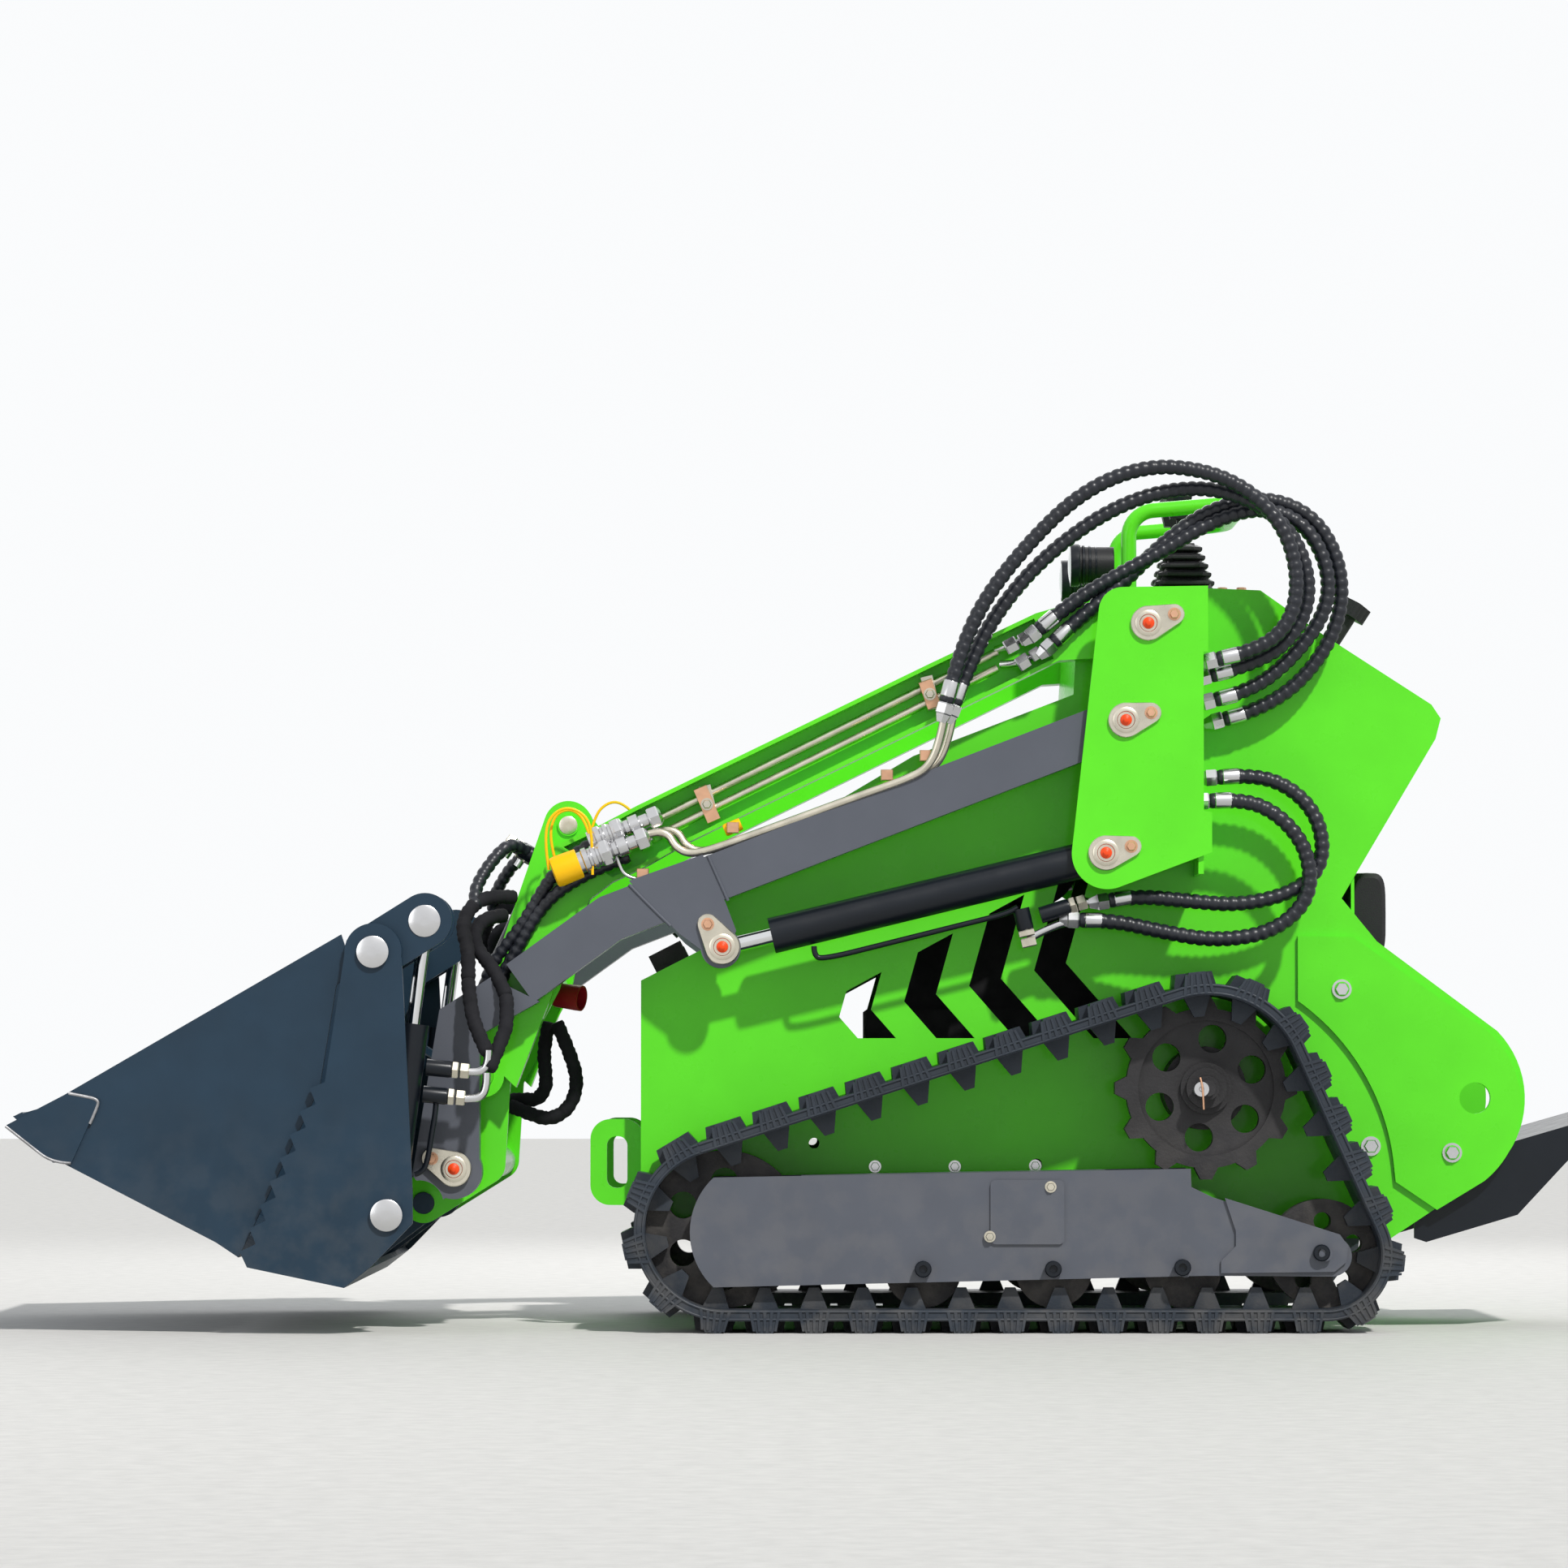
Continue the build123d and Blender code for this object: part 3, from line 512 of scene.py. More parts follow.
def route(points, start, end, side=LEFT):
    """Pixels of the photograph as places, from one distance off the centre plane to another."""
    last = max(1, len(points) - 1)
    places = [seen(p, -(start + (end - start) * i / last)) for i, p in enumerate(points)]
    return [Vector((p.x, side * -p.y, p.z)) for p in places]


# Hoses, as pixels of the photograph

HOSE_A = [(1500, 812), (1553, 801), (1592, 766), (1602, 713), (1588, 654), (1548, 606), (1489, 577)]
HOSE_A += [(1412, 571), (1333, 604), (1262, 674), (1208, 745), (1180, 815), (1166, 866)]
HOSE_B = [(1492, 832), (1560, 815), (1606, 770), (1617, 715), (1594, 652), (1540, 610), (1465, 596)]
HOSE_B += [(1377, 620), (1289, 682), (1225, 757), (1190, 830), (1176, 868)]
HOSE_C = [(1497, 862), (1540, 852), (1590, 815), (1636, 755), (1640, 700), (1612, 645), (1560, 622)]
HOSE_C += [(1495, 640), (1430, 680), (1370, 712), (1320, 742), (1279, 776)]
HOSE_D = [(1508, 886), (1550, 876), (1608, 838), (1652, 770), (1656, 700), (1626, 638), (1568, 610)]
HOSE_D += [(1500, 622), (1440, 662), (1380, 722), (1330, 762), (1298, 792)]
LIFT_A = [(1500, 958), (1545, 954), (1592, 970), (1626, 1008), (1632, 1062), (1600, 1098), (1530, 1116)]
LIFT_A += [(1460, 1110), (1400, 1104), (1366, 1110)]
LIFT_B = [(1490, 987), (1535, 984), (1580, 1006), (1612, 1048), (1616, 1105), (1572, 1148), (1500, 1160)]
LIFT_B += [(1430, 1148), (1370, 1134), (1330, 1134)]
KNUCKLE_A = [(757, 1027), (735, 1035), (700, 1058), (676, 1085), (658, 1116), (640, 1145), (617, 1172)]
KNUCKLE_A += [(600, 1200), (592, 1240)]
KNUCKLE_B = [(775, 1055), (737, 1070), (700, 1090), (677, 1108), (658, 1132), (640, 1165), (625, 1190)]
KNUCKLE_B += [(612, 1225), (600, 1262)]
TILT_LINE = [(652, 1051), (636, 1040), (622, 1044), (607, 1060), (592, 1082), (584, 1102), (586, 1118)]
SLEEVE_A = [(634, 1106), (604, 1103), (578, 1118), (569, 1144), (578, 1172), (577, 1208), (580, 1245)]
SLEEVE_A += [(590, 1275), (601, 1297)]
SLEEVE_B = [(622, 1128), (600, 1130), (585, 1145), (585, 1167), (612, 1198), (624, 1228), (626, 1260)]
SLEEVE_B += [(618, 1282), (603, 1318)]
BEHIND_LEG_A = [(677, 1260), (670, 1290), (672, 1318), (674, 1340), (662, 1356), (645, 1354), (628, 1356)]
BEHIND_LEG_B = [(686, 1260), (703, 1298), (713, 1335), (702, 1366), (678, 1380), (652, 1372), (628, 1362)]

# Hoses by name, with their route and the distances of their two ends from the centre plane
ARM_REACH = 0.292
FITTING_REACH = 0.3325
LIFT_HOSES = [("upper", LIFT_A, 0.335), ("lower", LIFT_B, 0.365)]
ARM_HOSES = [
    ("a", HOSE_A, 0.368, 0.385, "lower_arms"),
    ("b", HOSE_B, 0.342, 0.36, "lower_arms"),
    ("c", HOSE_C, 0.322, FITTING_REACH, "upper_arms"),
    ("d", HOSE_D, 0.296, FITTING_REACH, "upper_arms"),
]
KNUCKLE_HOSES = [("a", KNUCKLE_A, 0.332, 0.31), ("b", KNUCKLE_B, 0.336, 0.314)]
CLAM_SLEEVES = [("a", SLEEVE_A), ("b", SLEEVE_B)]
LEG_SLEEVES = [("a", BEHIND_LEG_A, 0.14, 0.11), ("b", BEHIND_LEG_B, 0.162, 0.13)]
TILT_START, TILT_END = 0.222, 0.32
SLEEVE_START = 0.275

# The point of a sleeve's route where it passes from the knuckle's half to the bucket's
SLEEVE_JOIN = 5
SMALL_HOSE = {"radius": 0.0095, "fittings": False}
CLOTH_SLEEVE = {"finish_name": "cloth", "waves": SLEEVE, "pitch": 0.02, "fittings": False, "radius": 0.0106,
                "free": False}


def hoses(mats):
    """Every hose: lift, arm, knuckle and tilt hoses, and the cloth sleeves."""
    for side, tag in SIDE_NAMES.items():
        for name, pixels, start in LIFT_HOSES:
            places = route(pixels, start, LIFT_CYLINDER, side)
            hose(f"lift_hose_{name}_{tag}", places, mats, ("chassis", "lift_barrels"))
    for name, pixels, start, end, body in ARM_HOSES:
        hose(f"arm_hose_{name}", route(pixels, start, end), mats, ("chassis", body))
    for name, pixels, start, end in KNUCKLE_HOSES:
        hose(f"knuckle_hose_{name}", route(pixels, start, end), mats, ("lower_arms", "knuckle"), **SMALL_HOSE)
    for side, tag in SIDE_NAMES.items():
        tilt = route(TILT_LINE, TILT_START, TILT_END, side)
        hose(f"tilt_hose_{tag}", tilt, mats, ("tilt_barrels", "knuckle"), free=False, **SMALL_HOSE)
        for name, pixels in CLAM_SLEEVES:
            places = route(pixels, SLEEVE_START, CLAM_CYLINDER, side)
            upper, lower = places[:SLEEVE_JOIN + 1], places[SLEEVE_JOIN:]
            hose(f"sleeve_{name}_upper_{tag}", upper, mats, ("knuckle", "bucket"), **CLOTH_SLEEVE)
            hose(f"sleeve_{name}_lower_{tag}", lower, mats, ("bucket", "clam_barrels"), **CLOTH_SLEEVE)
    for name, pixels, start, end in LEG_SLEEVES:
        hose(f"leg_sleeve_{name}", route(pixels, start, end), mats, ("knuckle",), **CLOTH_SLEEVE)


# Steel lines on the left arms, as pixels

ARM_LINE_RADIUS = 0.006
GRAY_LINE_RADIUS = 0.0062
GRAY_LINE_REACH = 0.385
GRAY_LINE_SHIFT = Vector((0.014, 0.024, 0.004))
GRAY_TUBE = [(1166, 872), (1160, 905), (1148, 940), (1128, 956), (1060, 980), (960, 1017), (880, 1046)]
GRAY_TUBE += [(850, 1053), (832, 1044), (824, 1028), (806, 1024), (790, 1032)]
TUBE_ENDS = [
    ("top", [(1279, 776), (1268, 783), (1255, 790), (1238, 797), (1228, 800)],
     [(815, 1004), (806, 1008), (797, 1012)]),
    ("low", [(1298, 792), (1282, 802), (1268, 811), (1250, 818), (1234, 818)],
     [(815, 1026), (806, 1031), (797, 1037)]),
]

# The two nuts at an end of a line: distance along it, radius and length
LINE_NUTS = ((0, 0.0105, 0.016), (0.02, 0.0125, 0.02))
REAR_NUT_REACH = FITTING_REACH - 0.01


def steel_tubes(mats):
    """Bent steel lines on the left arms, with their nuts."""
    for name, rear, front in TUBE_ENDS:
        rear_line = route(rear, FITTING_REACH, ARM_REACH)
        tube(f"arm_line_{name}_rear", rear_line, ARM_LINE_RADIUS, mats["steel"], "upper_arms")
        front_line = route(front, ARM_REACH, ARM_REACH)
        tube(f"arm_line_{name}_front", front_line, ARM_LINE_RADIUS, mats["steel"], "upper_arms")
        nuts = []
        for pixels, reach in ((rear[1:3], REAR_NUT_REACH), (front[:2], ARM_REACH)):
            first, last = route(pixels, reach, reach)
            run = (last - first).normalized()
            for shift, radius, length in LINE_NUTS:
                profile = nut_profile(radius, length, share=0.9, chamfer=0.002)
                nuts.append(turned(profile, first + run * shift, run, HEX))
        merged(f"arm_line_{name}_nuts", nuts, mats["steel"], "upper_arms", smooth=False)
    places = route(GRAY_TUBE, GRAY_LINE_REACH, LIFT_CYLINDER)
    tube("gray_arm_line", places, GRAY_LINE_RADIUS, mats["zinc"], "lower_arms")
    behind = [p + GRAY_LINE_SHIFT for p in places]
    tube("gray_arm_line_behind", behind, GRAY_LINE_RADIUS, mats["zinc"], "lower_arms")


# Clips: the high and low end of each large one, and the middle of each small one
ARM_CLIPS = [((1140, 838), (1152, 872)), ((862, 970), (880, 1012))]
CLIP_FACE, CLIP_THICKNESS, CLIP_TOP = 0.3, 0.006, 0.306
CLIP_HALF_WIDTH = 0.0105
SMALL_CLIPS = [(1093, 955), (903, 1020), (792, 1077), (1141, 931)]
SMALL_CLIP_FACE, SMALL_CLIP_THICKNESS, SMALL_CLIP_REACH = 0.335, 0.026, 0.352
SMALL_CLIP_HALF_LENGTH, SMALL_CLIP_HALF_HEIGHT = 0.009, 0.008
SQUARE = ((-1, -1), (1, -1), (1, 1), (-1, 1))


def clamps(mats):
    """Copper-coloured clips over the steel lines; the large ones have a bolt each."""
    clips, bolts = [], []
    for ends in ARM_CLIPS:
        a, b = route(ends, CLIP_TOP, CLIP_TOP)
        tall = (b - a).normalized()
        across = Vector((-tall.z, 0, tall.x)) * CLIP_HALF_WIDTH
        corners = [a - across, a + across, b + across, b - across]
        clips.append(flat_plate([(c.x, c.z) for c in corners], CLIP_FACE, LEFT, CLIP_THICKNESS))
        middle = (a + b) / 2
        bolts += hex_bolt((middle.x, -CLIP_TOP, middle.z), (0, -1, 0), across=0.012, height=0.007)
    merged("arm_clips", clips, mats["copper"], "upper_arms", smooth=False)
    merged("arm_clip_bolts", bolts, mats["zinc"], "upper_arms", smooth=False)
    small = []
    for pixel in SMALL_CLIPS:
        at = seen(pixel, -SMALL_CLIP_REACH)
        outline = [(at.x + x * SMALL_CLIP_HALF_LENGTH, at.z + z * SMALL_CLIP_HALF_HEIGHT) for x, z in SQUARE]
        small.append(flat_plate(outline, SMALL_CLIP_FACE, LEFT, SMALL_CLIP_THICKNESS))
    merged("gray_arm_clips", small, mats["copper"], "lower_arms", smooth=False)


# Retainers, as pixels: the pin, its plate's small end, the face it lies on, the body

RETAINERS = [
    ("tower_top", (1416, 767), (1448, 756), TOWER_FACE, "chassis"),
    ("tower_middle", (1388, 887), (1419, 878), TOWER_FACE, "chassis"),
    ("tower_low", (1363, 1051), (1394, 1043), TOWER_FACE, "chassis"),
    ("lift_eye", (890, 1167), (872, 1139), LOWER_ARM_FACE, "lower_arms"),
    ("leg_foot", (560, 1440), (533, 1427), LOWER_ARM_FACE, "knuckle"),
]

# The leg's foot stands out past the arm: the left one is found on the arm's face, the right one on this
LEG_FOOT_FACE = LOWER_ARM_FACE + 0.0045
RETAINER_RADIUS, RETAINER_TAIL_RADIUS = 0.0262, 0.0155
RETAINER_THICKNESS = 0.006
RETAINER_MIDDLE = 0.003

# Turned shapes, as (radius, distance outward) pairs
RETAINER_HUB = [(0.0185, 0), (0.0195, 0.0008), (0.0195, 0.0022), (0.018, 0.003), (0.0135, 0.003)]
RETAINER_HUB += [(0.0125, 0.0012), (0.001, 0.0012)]
GREASE_CAP = [(0.0088, 0.001), (0.0088, 0.005), (0.007, 0.0066), (0.0045, 0.0072), (0.0045, 0.0105)]
GREASE_CAP += [(0.003, 0.0115)]


def retainers(mats):
    """Zinc plates that lock the arm pins, each with its bolt and the grease nipple's cap."""
    for name, pin, tail, face, body in RETAINERS:
        for side, tag in SIDE_NAMES.items():
            at, end = seen(pin, -face - RETAINER_MIDDLE), seen(tail, -face - RETAINER_MIDDLE)
            if name == "leg_foot":
                face = LEG_FOOT_FACE
            outline = teardrop((at.x, at.z), (end.x, end.z), RETAINER_RADIUS, RETAINER_TAIL_RADIUS)
            plate = flat_plate(outline, face, side, RETAINER_THICKNESS)
            out = (0, side, 0)
            top = side * (face + RETAINER_THICKNESS)
            hub = turned(RETAINER_HUB, (at.x, top, at.z), out, sides=28)
            merged(f"retainer_{name}_{tag}", [plate, hub], mats["zinc"], body)
            bolt = hex_bolt((end.x, top, end.z), out, across=0.0125, height=0.006)
            merged(f"retainer_bolt_{name}_{tag}", bolt, mats["copper"], body, smooth=False)
            cap = turned(GREASE_CAP, (at.x, top, at.z), out, sides=14)
            merged(f"grease_cap_{name}_{tag}", [cap], mats["orange"], body)


# Pin heads: pixel, face, body, radius and height
PIN_HEADS = [
    ("clam_bearing", (459, 1173), BUCKET_FACE, "bucket", 0.0235, 0.002),
    ("clam_base", (477, 1497), BUCKET_FACE, "bucket", 0.0235, 0.002),
    ("clam_eye", (523, 1135), CLAM_FACE, "clam", 0.0235, 0.0022),
    ("lobe", (700, 1017), 0.2662, "knuckle", 0.0138, 0.0012),
]
PIN_HEAD_SHARES = [(1, 0), (1, 0.6), (0.93, 1), (0.2, 1.02)]

# Bolts: pixels, face, body, finish, width across the flats and height
BOLTS = [
    ("guard", [(1653, 1219), (1788, 1420)], GUARD_FACE, "chassis", "steel", 0.019, 0.009),
    ("plate", [(1688, 1412)], PLATE_FACE, "chassis", "steel", 0.019, 0.009),
    ("cover", [(1294, 1462), (1219, 1523)], FRAME_FACE + 0.004, "chassis", "zinc", 0.011, 0.006),
    ("front_plate", [(1078, 1437), (1176, 1437), (1275, 1436)], PLATE_FACE, "chassis", "steel", 0.012, 0.006),
]
ROLLER_BOLTS = [(1137, 1563), (1297, 1563), (1456, 1561), (1627, 1543)]
ROLLER_BOLT_STAND = 0.012
ROLLER_BOLT = [(0.0125, -0.006), (0.0125, 0.004), (0.011, 0.006), (0.0062, 0.006), (0.0058, 0.001)]
ROLLER_BOLT += [(0.0005, 0.001)]
AXLE = (1480, 1342)
AXLE_REACH = 0.425
AXLE_END = [(0.0125, -0.01), (0.0125, 0.001), (0.011, 0.003), (0.004, 0.003), (0.003, 0.0015)]
SPLIT_PIN_REACH, SPLIT_PIN_RADIUS = 0.428, 0.0016
SPLIT_PIN = [(-0.002, 0, 0.017), (0.001, 0.002, 0.006), (0.002, 0.001, -0.008), (0.003, 0, -0.03)]


def pins_and_bolts(mats):
    """Heads of the bucket's and the knuckle's pins, bolts of the plates, rollers' bolts and axle ends."""
    for side, tag in SIDE_NAMES.items():
        out = (0, side, 0)
        for name, pixel, face, body, radius, height in PIN_HEADS:
            at = seen(pixel, -face)
            profile = scaled(PIN_HEAD_SHARES, radius, height)
            head = turned(profile, (at.x, side * face, at.z), out, sides=36)
            merged(f"pin_head_{name}_{tag}", [head], mats["zinc" if name == "lobe" else "steel"], body)
        for name, pixels, face, body, mat, across, height in BOLTS:
            parts = []
            for pixel in pixels:
                at = seen(pixel, -face)
                parts += hex_bolt((at.x, side * face, at.z), out, across, height)
            merged(f"bolts_{name}_{tag}", parts, mats[mat], body, smooth=False)
        sockets = []
        for pixel in ROLLER_BOLTS:
            at = seen(pixel, -FRAME_FACE - ROLLER_BOLT_STAND)
            place = (at.x, side * (FRAME_FACE + ROLLER_BOLT_STAND), at.z)
            sockets.append(turned(ROLLER_BOLT, place, out, sides=20))
        merged(f"roller_bolts_{tag}", sockets, mats["black"], "chassis")
        axle = seen(AXLE, -AXLE_REACH)
        end = turned(AXLE_END, (axle.x, side * AXLE_REACH, axle.z), out)
        merged(f"axle_end_{tag}", [end], mats["steel"], "chassis")
        pin = [Vector((axle.x + x, side * (SPLIT_PIN_REACH + y), axle.z + z)) for x, y, z in SPLIT_PIN]
        tube(f"split_pin_{tag}", pin, SPLIT_PIN_RADIUS, mats["copper"], "chassis")


# Couplers on the left arm: profiles as (radius, distance along the coupler)

COUPLER_LINE = [(800, 1030), (672, 1080)]
COUPLER_REACHES = (0.36, 0.341)
SECOND_COUPLER_SHIFT = Vector((0.018, 0, 0.032))
COUPLER_BODY = [(0.0095, 0), (0.0145, 0.004), (0.0145, 0.02), (0.0105, 0.022), (0.0105, 0.034)]
COUPLER_BODY += [(0.015, 0.036), (0.015, 0.05), (0.012, 0.052), (0.012, 0.058), (0.0185, 0.062)]
COUPLER_BODY += [(0.0185, 0.078), (0.0165, 0.08), (0.0165, 0.083), (0.0185, 0.085), (0.0185, 0.09)]
COUPLER_BODY += [(0.0165, 0.092), (0.0165, 0.095), (0.0195, 0.097), (0.0195, 0.104), (0.0165, 0.106)]
COUPLER_BODY += [(0.0165, 0.116)]
COUPLER_REAR_NUT = [(0.0165, 0.004), (0.0175, 0.006), (0.0175, 0.018), (0.0165, 0.02)]
COUPLER_FRONT_NUT = [(0.0205, 0.064), (0.0215, 0.066), (0.0215, 0.074), (0.0205, 0.076)]
COUPLER_CAP = [(0.0215, 0.112), (0.0225, 0.113), (0.0235, 0.145), (0.0225, 0.152), (0.019, 0.154)]
COUPLER_CAP += [(0.002, 0.154)]

# Straps and the couplers' bracket: pixels, the reaches of both ends, radius and finish
STRAPS = [
    ("cap_strap", [(676, 1072), (671, 1040), (675, 1008), (697, 993), (722, 1004), (730, 1030), (730, 1078)],
     0.368, 0.37, 0.0021, "yellow"),
    ("cap_strap_inner", [(683, 1056), (676, 1030), (684, 1002), (705, 996), (722, 1012), (729, 1040)],
     0.345, 0.35, 0.0021, "yellow"),
    ("cap_strap_far", [(727, 1030), (733, 1004), (748, 989), (765, 988), (776, 998)],
     0.31, 0.306, 0.0021, "yellow"),
    ("coupler_bracket", [(752, 1022), (754, 1038), (762, 1064), (770, 1080), (784, 1083)],
     0.352, 0.352, 0.0028, "steel"),
]

# Loose caps: pixels of the axis, the reaches of both ends, profile, finish and body
LINE_CAP = [(0.009, 0), (0.0095, 0.004), (0.0095, 0.024), (0.008, 0.027), (0.001, 0.027)]
DRAIN_CAP = [(0.016, 0), (0.018, 0.003), (0.0195, 0.036), (0.0195, 0.045), (0.017, 0.045), (0.0165, 0.03)]
DRAIN_CAP += [(0.001, 0.03)]
CAPS = [
    ("line_cap", [(913, 1015), (892, 1024)], 0.335, 0.335, LINE_CAP, "yellow", "lower_arms"),
    ("drain_cap", [(684, 1226), (722, 1231)], 0.215, 0.235, DRAIN_CAP, "maroon", "knuckle"),
]


def couplers(mats):
    """Two quick couplers side by side, one with its yellow cap and straps, and two smaller caps."""
    for number, reach in enumerate(COUPLER_REACHES):
        rear, front = route(COUPLER_LINE, reach, reach)
        if number:
            rear, front = rear + SECOND_COUPLER_SHIFT, front + SECOND_COUPLER_SHIFT
        merged(f"coupler_{number}", [along(rear, front, COUPLER_BODY)], mats["steel"], "lower_arms")
        nuts = [along(rear, front, COUPLER_REAR_NUT, HEX), along(rear, front, COUPLER_FRONT_NUT, HEX)]
        merged(f"coupler_nuts_{number}", nuts, mats["steel"], "lower_arms", smooth=False)
        if number == 0:
            merged("coupler_cap", [along(rear, front, COUPLER_CAP)], mats["yellow"], "lower_arms")
    for name, pixels, start, end, radius, mat in STRAPS:
        tube(name, route(pixels, start, end), radius, mats[mat], "lower_arms")
    for name, pixels, start, end, profile, mat, body in CAPS:
        rear, front = route(pixels, start, end)
        merged(name, [along(rear, front, profile)], mats[mat], body)


# Cylinder ports: pixels of a port's foot and end, then the bend of its elbow

PORTS = [
    ("lift_high", (1282, 1128), (1318, 1117), [(1330, 1110), (1348, 1112), (1366, 1110)],
     LIFT_CYLINDER, "lift_barrels"),
    ("lift_low", (1258, 1120), (1264, 1146), [(1268, 1156), (1288, 1146), (1312, 1136), (1330, 1134)],
     LIFT_CYLINDER, "lift_barrels"),
    ("clam_high", (526, 1315), (557, 1318), [(577, 1321), (596, 1320), (602, 1308), (602, 1294)],
     CLAM_CYLINDER, "clam_barrels"),
    ("clam_low", (522, 1348), (552, 1351), [(574, 1354), (594, 1352), (600, 1338), (600, 1322)],
     CLAM_CYLINDER, "clam_barrels"),
    ("tilt_top", (662, 1058), (642, 1046), [(634, 1040), (626, 1034), (630, 1046), (622, 1056)],
     TILT_CYLINDER, "tilt_barrels"),
]
PORT_RADIUS, PORT_TIP_RADIUS = 0.0125, 0.0115
PORT_NUTS = ((0, 0.0135, 0.01), (0.012, 0.0125, 0.014))
ELBOW_LEAD, ELBOW_RADIUS = 0.02, 0.0062

# Pipes along the barrels: pixels, reach and body
PIPES = [
    ("lift_pipe",
     [(1003, 1166), (1003, 1176), (1012, 1183), (1100, 1161), (1200, 1136), (1244, 1125), (1254, 1118)],
     0.352, "lift_barrels"),
    ("clam_pipe", [(538, 1352), (538, 1366), (532, 1400), (528, 1428), (522, 1444), (512, 1447)],
     CLAM_CYLINDER, "clam_barrels"),
]
PIPE_RADIUS = 0.0042


def ports(mats):
    """Stubs, nuts and elbows on the hydraulic cylinders, and the pipes along their barrels."""
    for side, tag in SIDE_NAMES.items():
        for name, foot, end, bend, reach, body in PORTS:
            a, b = route([foot, end], reach, reach, side)
            long = (b - a).length
            stub = [(PORT_RADIUS, 0), (PORT_RADIUS, long * 0.9), (PORT_TIP_RADIUS, long)]
            merged(f"port_{name}_{tag}", [along(a, b, stub)], mats["black"], body)
            run = (b - a).normalized()
            nuts = []
            for shift, radius, length in PORT_NUTS:
                profile = nut_profile(radius, length, share=0.92, chamfer=0.0015)
                nuts.append(turned(profile, b + run * shift, run, HEX))
            merged(f"port_nuts_{name}_{tag}", nuts, mats["zinc"], body, smooth=False)
            elbow = [b + run * ELBOW_LEAD] + route(bend, reach, reach, side)
            tube(f"port_elbow_{name}_{tag}", elbow, ELBOW_RADIUS, mats["steel"], body)
        for name, pixels, reach, body in PIPES:
            tube(f"{name}_{tag}", route(pixels, reach, reach, side), PIPE_RADIUS, mats["black"], body)


# Console and lamps

LEVERS = (("left", -0.07), ("right", 0.07))
BELLOWS_X, BELLOWS_FOOT, BELLOWS_STEP, BELLOWS_CORNER = 0.562, 1.1175, 0.0135, 0.014
BELLOWS_FOLDS = 6

# The bellows' length and width at the foot, and what each loses up to the top
BELLOWS_LENGTH, BELLOWS_LENGTH_LOSS = 0.1, 0.044
BELLOWS_WIDTH, BELLOWS_WIDTH_LOSS = 0.088, 0.034

# One fold of the bellows, as heights and insets
FOLD = ((0, 0.008), (0.0035, 0.0005), (0.006, 0), (0.0085, 0.0005), (0.0125, 0.008))
LEVER_BALL = [(0.002, -0.021), (0.012, -0.018), (0.019, -0.009), (0.021, 0), (0.019, 0.009), (0.012, 0.0165)]
LEVER_BALL += [(0.002, 0.019)]
BALL_X, BALL_Z = 0.553, 1.272
LAMPS = (("left", -0.15), ("right", 0.15))
LAMP_Z = 1.16
FINS, FIN_X, FIN_STEP = 5, 0.4, 0.0095
FIN_RADIUS, FIN_LOSS, FIN_CHAMFER = 0.031, 0.0012, 0.003
RIM_X, LENS_X = 0.383, 0.3828
LAMP_RIM = [(0.0325, 0), (0.033, 0.002), (0.033, 0.012), (0.031, 0.014)]
LAMP_LENS = [(0.001, -0.0035), (0.012, -0.003), (0.022, -0.0016), (0.028, 0.0)]
CONSOLE_BOLTS = [(0.612, -0.2), (0.612, 0.2), (0.641, -0.2), (0.641, 0.2)]
CONSOLE_BOLT_Z = 1.1155


def square_ring(centre, length, width, z, corner):
    """Points round a square with cut corners."""
    points = []
    for sx, sy in ((1, 1), (-1, 1), (-1, -1), (1, -1)):
        near = [(sx * length / 2, sy * (width / 2 - corner)), (sx * (length / 2 - corner), sy * width / 2)]
        points += near if sx * sy > 0 else near[::-1]
    return [Vector((centre[0] + x, centre[1] + y, z)) for x, y in points]


def levers(mats):
    """Bellows round the foot of each lever, and its ball."""
    for tag, y in LEVERS:
        folds = []
        for number in range(BELLOWS_FOLDS):
            share = number / (BELLOWS_FOLDS - 1)
            length = BELLOWS_LENGTH - BELLOWS_LENGTH_LOSS * share
            width = BELLOWS_WIDTH - BELLOWS_WIDTH_LOSS * share
            foot = BELLOWS_FOOT + BELLOWS_STEP * number
            rings = []
            for height, inset in FOLD:
                ring = square_ring((BELLOWS_X, y), length - inset * 2, width - inset * 2, foot + height,
                                   BELLOWS_CORNER)
                rings.append(ring)
            folds.append(stacked(rings))
        merged(f"lever_bellows_{tag}", folds, mats["plastic"], "chassis")
        ball = turned(LEVER_BALL, (BALL_X, y, BALL_Z), (0, 0, 1))
        merged(f"lever_ball_{tag}", [ball], mats["black"], "chassis")


def lamps(mats):
    """Fins, rim and lens of each work lamp."""
    for tag, y in LAMPS:
        fins = []
        for number in range(FINS):
            size = FIN_RADIUS - FIN_LOSS * number
            fin = [(size - FIN_CHAMFER, 0), (size, 0.001), (size, 0.004), (size - FIN_CHAMFER, 0.005)]
            fins.append(turned(fin, (FIN_X + FIN_STEP * number, y, LAMP_Z), (1, 0, 0), sides=28))
        merged(f"lamp_fins_{tag}", fins, mats["black"], "chassis")
        rim = turned(LAMP_RIM, (RIM_X, y, LAMP_Z), (1, 0, 0), sides=32)
        merged(f"lamp_rim_{tag}", [rim], mats["black"], "chassis")
        lens = turned(LAMP_LENS, (LENS_X, y, LAMP_Z), (1, 0, 0), sides=32)
        merged(f"lamp_lens_{tag}", [lens], mats["lens"], "chassis")


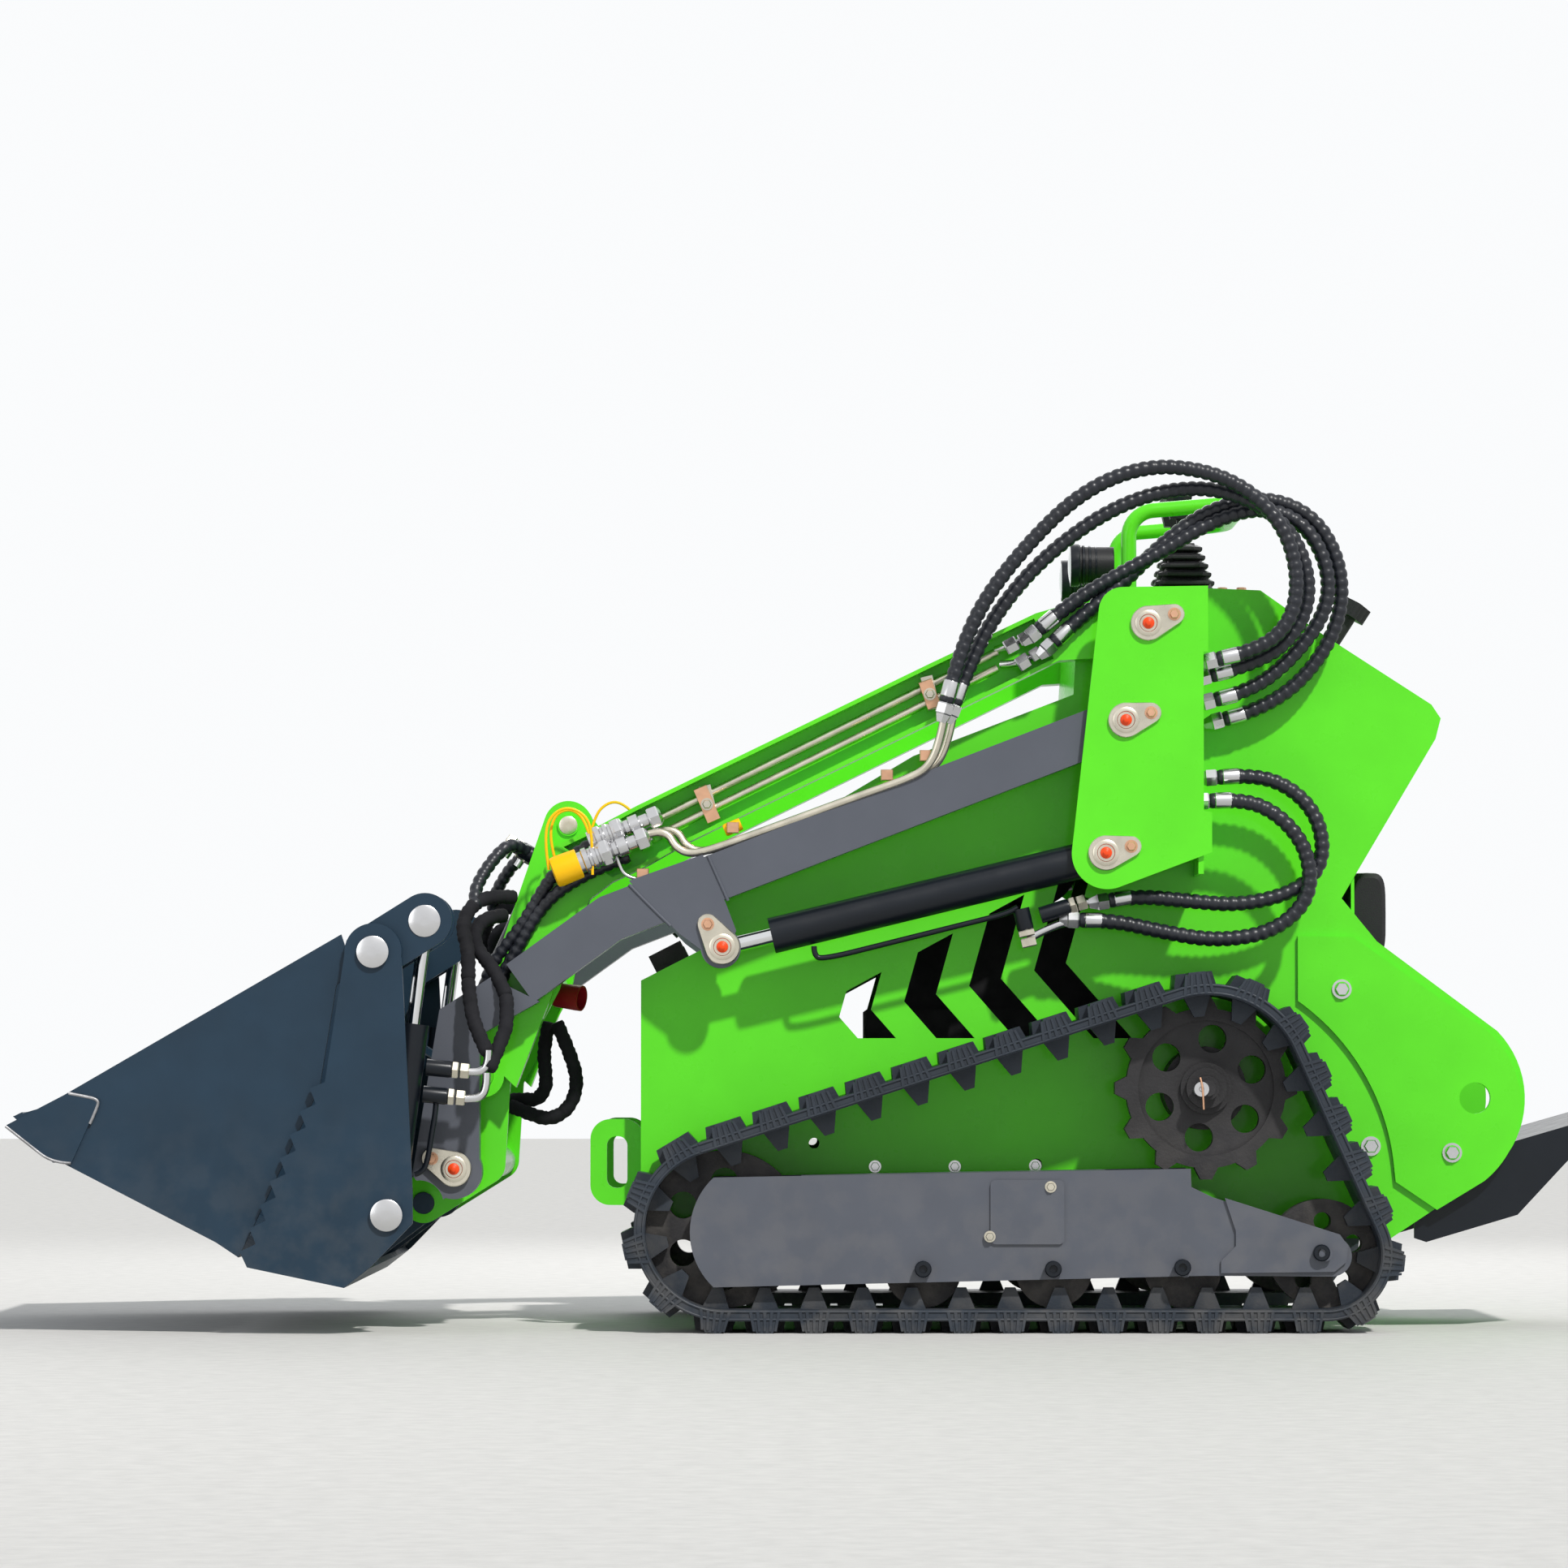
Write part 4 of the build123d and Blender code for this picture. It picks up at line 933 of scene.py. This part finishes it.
def console(mats):
    """Levers, lamps and the console's small bolts."""
    levers(mats)
    lamps(mats)
    bolts = []
    for x, y in CONSOLE_BOLTS:
        bolts += hex_bolt((x, y, CONSOLE_BOLT_Z), (0, 0, 1), across=0.013, height=0.006)
    merged("console_bolts", bolts, mats["copper"], "chassis", smooth=False)


# Weld beads as pixels, and lines on the bucket's corner plates as (X, Z)

WELDS = [("gusset", [(775, 1090), (800, 1116), (826, 1141)])]
WELDS += [("seam", [(872, 1054), (880, 1072), (889, 1092), (897, 1110)])]
WELD_RADIUS = 0.0026
WORN_LINE = [(-1.198, 0.3055), (-1.165, 0.2795), (-1.129, 0.2515), (-1.102, 0.2515)]
WELD_LINE = [(-1.106, 0.3535), (-1.084, 0.3495), (-1.0615, 0.3445), (-1.064, 0.332), (-1.0745, 0.309)]
CORNER_LINES = [("edge", WORN_LINE, 0.0042, 0.0022), ("weld", WELD_LINE, 0.0038, 0.0024)]


def welds(mats):
    """Weld beads along the gussets and seams of the gray arms."""
    for side, tag in SIDE_NAMES.items():
        for name, pixels in WELDS:
            places = route(pixels, LOWER_ARM_FACE, LOWER_ARM_FACE, side)
            tube(f"weld_{name}_{tag}", places, WELD_RADIUS, mats["gray"], "lower_arms")


def wear_edges(mats):
    """Bright worn steel and a weld along the bucket's corner plates."""
    for side, tag in SIDE_NAMES.items():
        for name, line, stand, radius in CORNER_LINES:
            places = [Vector((x, side * (CLAM_FACE + stand), z)) for x, z in line]
            tube(f"corner_{name}_{tag}", places, radius, mats["worn"], "clam")


# Rubber tracks: the belt's run round its wheels, as centres and radii, front, rear and top

TRACK_PITCH = 0.072
SPROCKET_TEETH = 12
SPROCKET_RADIUS = SPROCKET_TEETH * TRACK_PITCH / (2 * math.pi)
TRACK_WHEELS = [((-0.144, 0.152), 0.117), ((0.744, 0.116), 0.081), ((0.572, 0.361), SPROCKET_RADIUS)]
ARC_STEPS = 60

# How far the first link lies along the belt, in links
FIRST_LINK = 0.37
BELT = 0.017
LUG = 0.018
TRACK_OUT = 0.46

# Ribs on a lug: their places along the belt, and a rib's corners as (along the belt, height)
RIB_SLOTS = (-0.021, -0.0105, 0, 0.0105, 0.021)
RIB_TOP = BELT + LUG - 0.003
RIB_CORNERS = ((-0.0024, 0.002), (0.0024, 0.002), (0.0018, RIB_TOP), (-0.0018, RIB_TOP))
RIB_TAPER = 0.25
RIB_THICKNESS, RIB_BEVEL = 0.0022, 0.0004
BELT_LINES = (("inner", 0.003), ("outer", BELT - 0.0025))
BELT_LINE_RADIUS = 0.0022


def belt_run(outward):
    """Points along the belt's closed loop, at a distance outside its inner face."""
    normals = []
    for number in range(3):
        (x, z), radius = TRACK_WHEELS[number]
        (next_x, next_z), next_radius = TRACK_WHEELS[(number + 1) % 3]
        run = math.hypot(next_x - x, next_z - z)
        normals.append(math.atan2(next_z - z, next_x - x) - math.acos((radius - next_radius) / run))
    points = []
    for number in range(3):
        centre, radius = TRACK_WHEELS[number]
        entry = normals[number - 1]
        turn = (normals[number] - entry) % (2 * math.pi)
        points += [Vector(p) for p in arc_points(centre, radius + outward, entry, turn, ARC_STEPS)]
    return points + points[:1]


def place_on(points, gone):
    """The place and heading at a length along a line of points."""
    for a, b in zip(points, points[1:]):
        step = (b - a).length
        if gone <= step and step:
            return a + (b - a) * (gone / step), (b - a) / step
        gone -= step
    return points[-1], (points[-1] - points[-2]).normalized()


def rib(at, run, slot):
    """A rib's four (X, Z) corners; ribs lean together towards the lug's tip."""
    out = Vector((run.y, -run.x))
    corners = []
    for shift, height in RIB_CORNERS:
        spot = at + run * (slot * (1 - RIB_TAPER * (height > BELT)) + shift) + out * height
        corners.append((spot.x, spot.y))
    return corners


def tread(mats):
    """Ribs on the ends of the lugs, and two raised lines along the belt's outer side."""
    inner = belt_run(0)
    total = sum((b - a).length for a, b in zip(inner, inner[1:]))
    count = round(total / TRACK_PITCH)
    for side, tag in SIDE_NAMES.items():
        ribs = []
        for number in range(count):
            at, run = place_on(inner, total * ((number + FIRST_LINK) / count % 1))
            for slot in RIB_SLOTS:
                ribs.append(flat_plate(rib(at, run, slot), TRACK_OUT, side, RIB_THICKNESS, RIB_BEVEL))
        merged(f"tread_ribs_{tag}", ribs, mats["rubber"], "chassis", smooth=False)
        for name, height in BELT_LINES:
            line = [Vector((p.x, side * TRACK_OUT, p.y)) for p in belt_run(height)]
            tube(f"belt_line_{name}_{tag}", line, BELT_LINE_RADIUS, mats["rubber"], "chassis")


# The pad's swelling: how square it is, and the share of its size that its ends keep and its middle adds
PAD_STEPS, PAD_POINTS = 12, 32
PAD_ENDS, PAD_CORNERS = 6, 0.45
PAD_DEPTH_SHARES = (0.72, 0.28)
PAD_HEIGHT_SHARES = (0.86, 0.14)


def cushion(mats):
    """The operator's pad behind the shell, soft-edged, in place of the plain block."""
    low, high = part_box("thigh_pad")
    middle = (low + high) / 2
    half = (high - low) / 2
    rings = []
    for step in range(PAD_STEPS + 1):
        across = math.cos(math.pi * step / PAD_STEPS)
        swell = (1 - abs(across) ** PAD_ENDS) ** (1 / PAD_ENDS)
        depth = PAD_DEPTH_SHARES[0] + PAD_DEPTH_SHARES[1] * swell
        height = PAD_HEIGHT_SHARES[0] + PAD_HEIGHT_SHARES[1] * swell
        ring = []
        for k in range(PAD_POINTS):
            angle = 2 * math.pi * k / PAD_POINTS
            c, s = math.cos(angle), math.sin(angle)
            x = math.copysign(abs(c) ** PAD_CORNERS, c) * half.x * depth
            z = math.copysign(abs(s) ** PAD_CORNERS, s) * half.z * height
            ring.append(Vector((middle.x + x, middle.y + across * half.y, middle.z + z)))
        rings.append(ring)
    pad = merged("thigh_cushion", [stacked(rings)], mats["plastic"], "chassis")
    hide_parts("thigh_pad")


camera()
mats = materials()
studio()
paint_nodes(mats)
hoses(mats)
steel_tubes(mats)
clamps(mats)
retainers(mats)
pins_and_bolts(mats)
couplers(mats)
ports(mats)
console(mats)
welds(mats)
wear_edges(mats)
tread(mats)
cushion(mats)
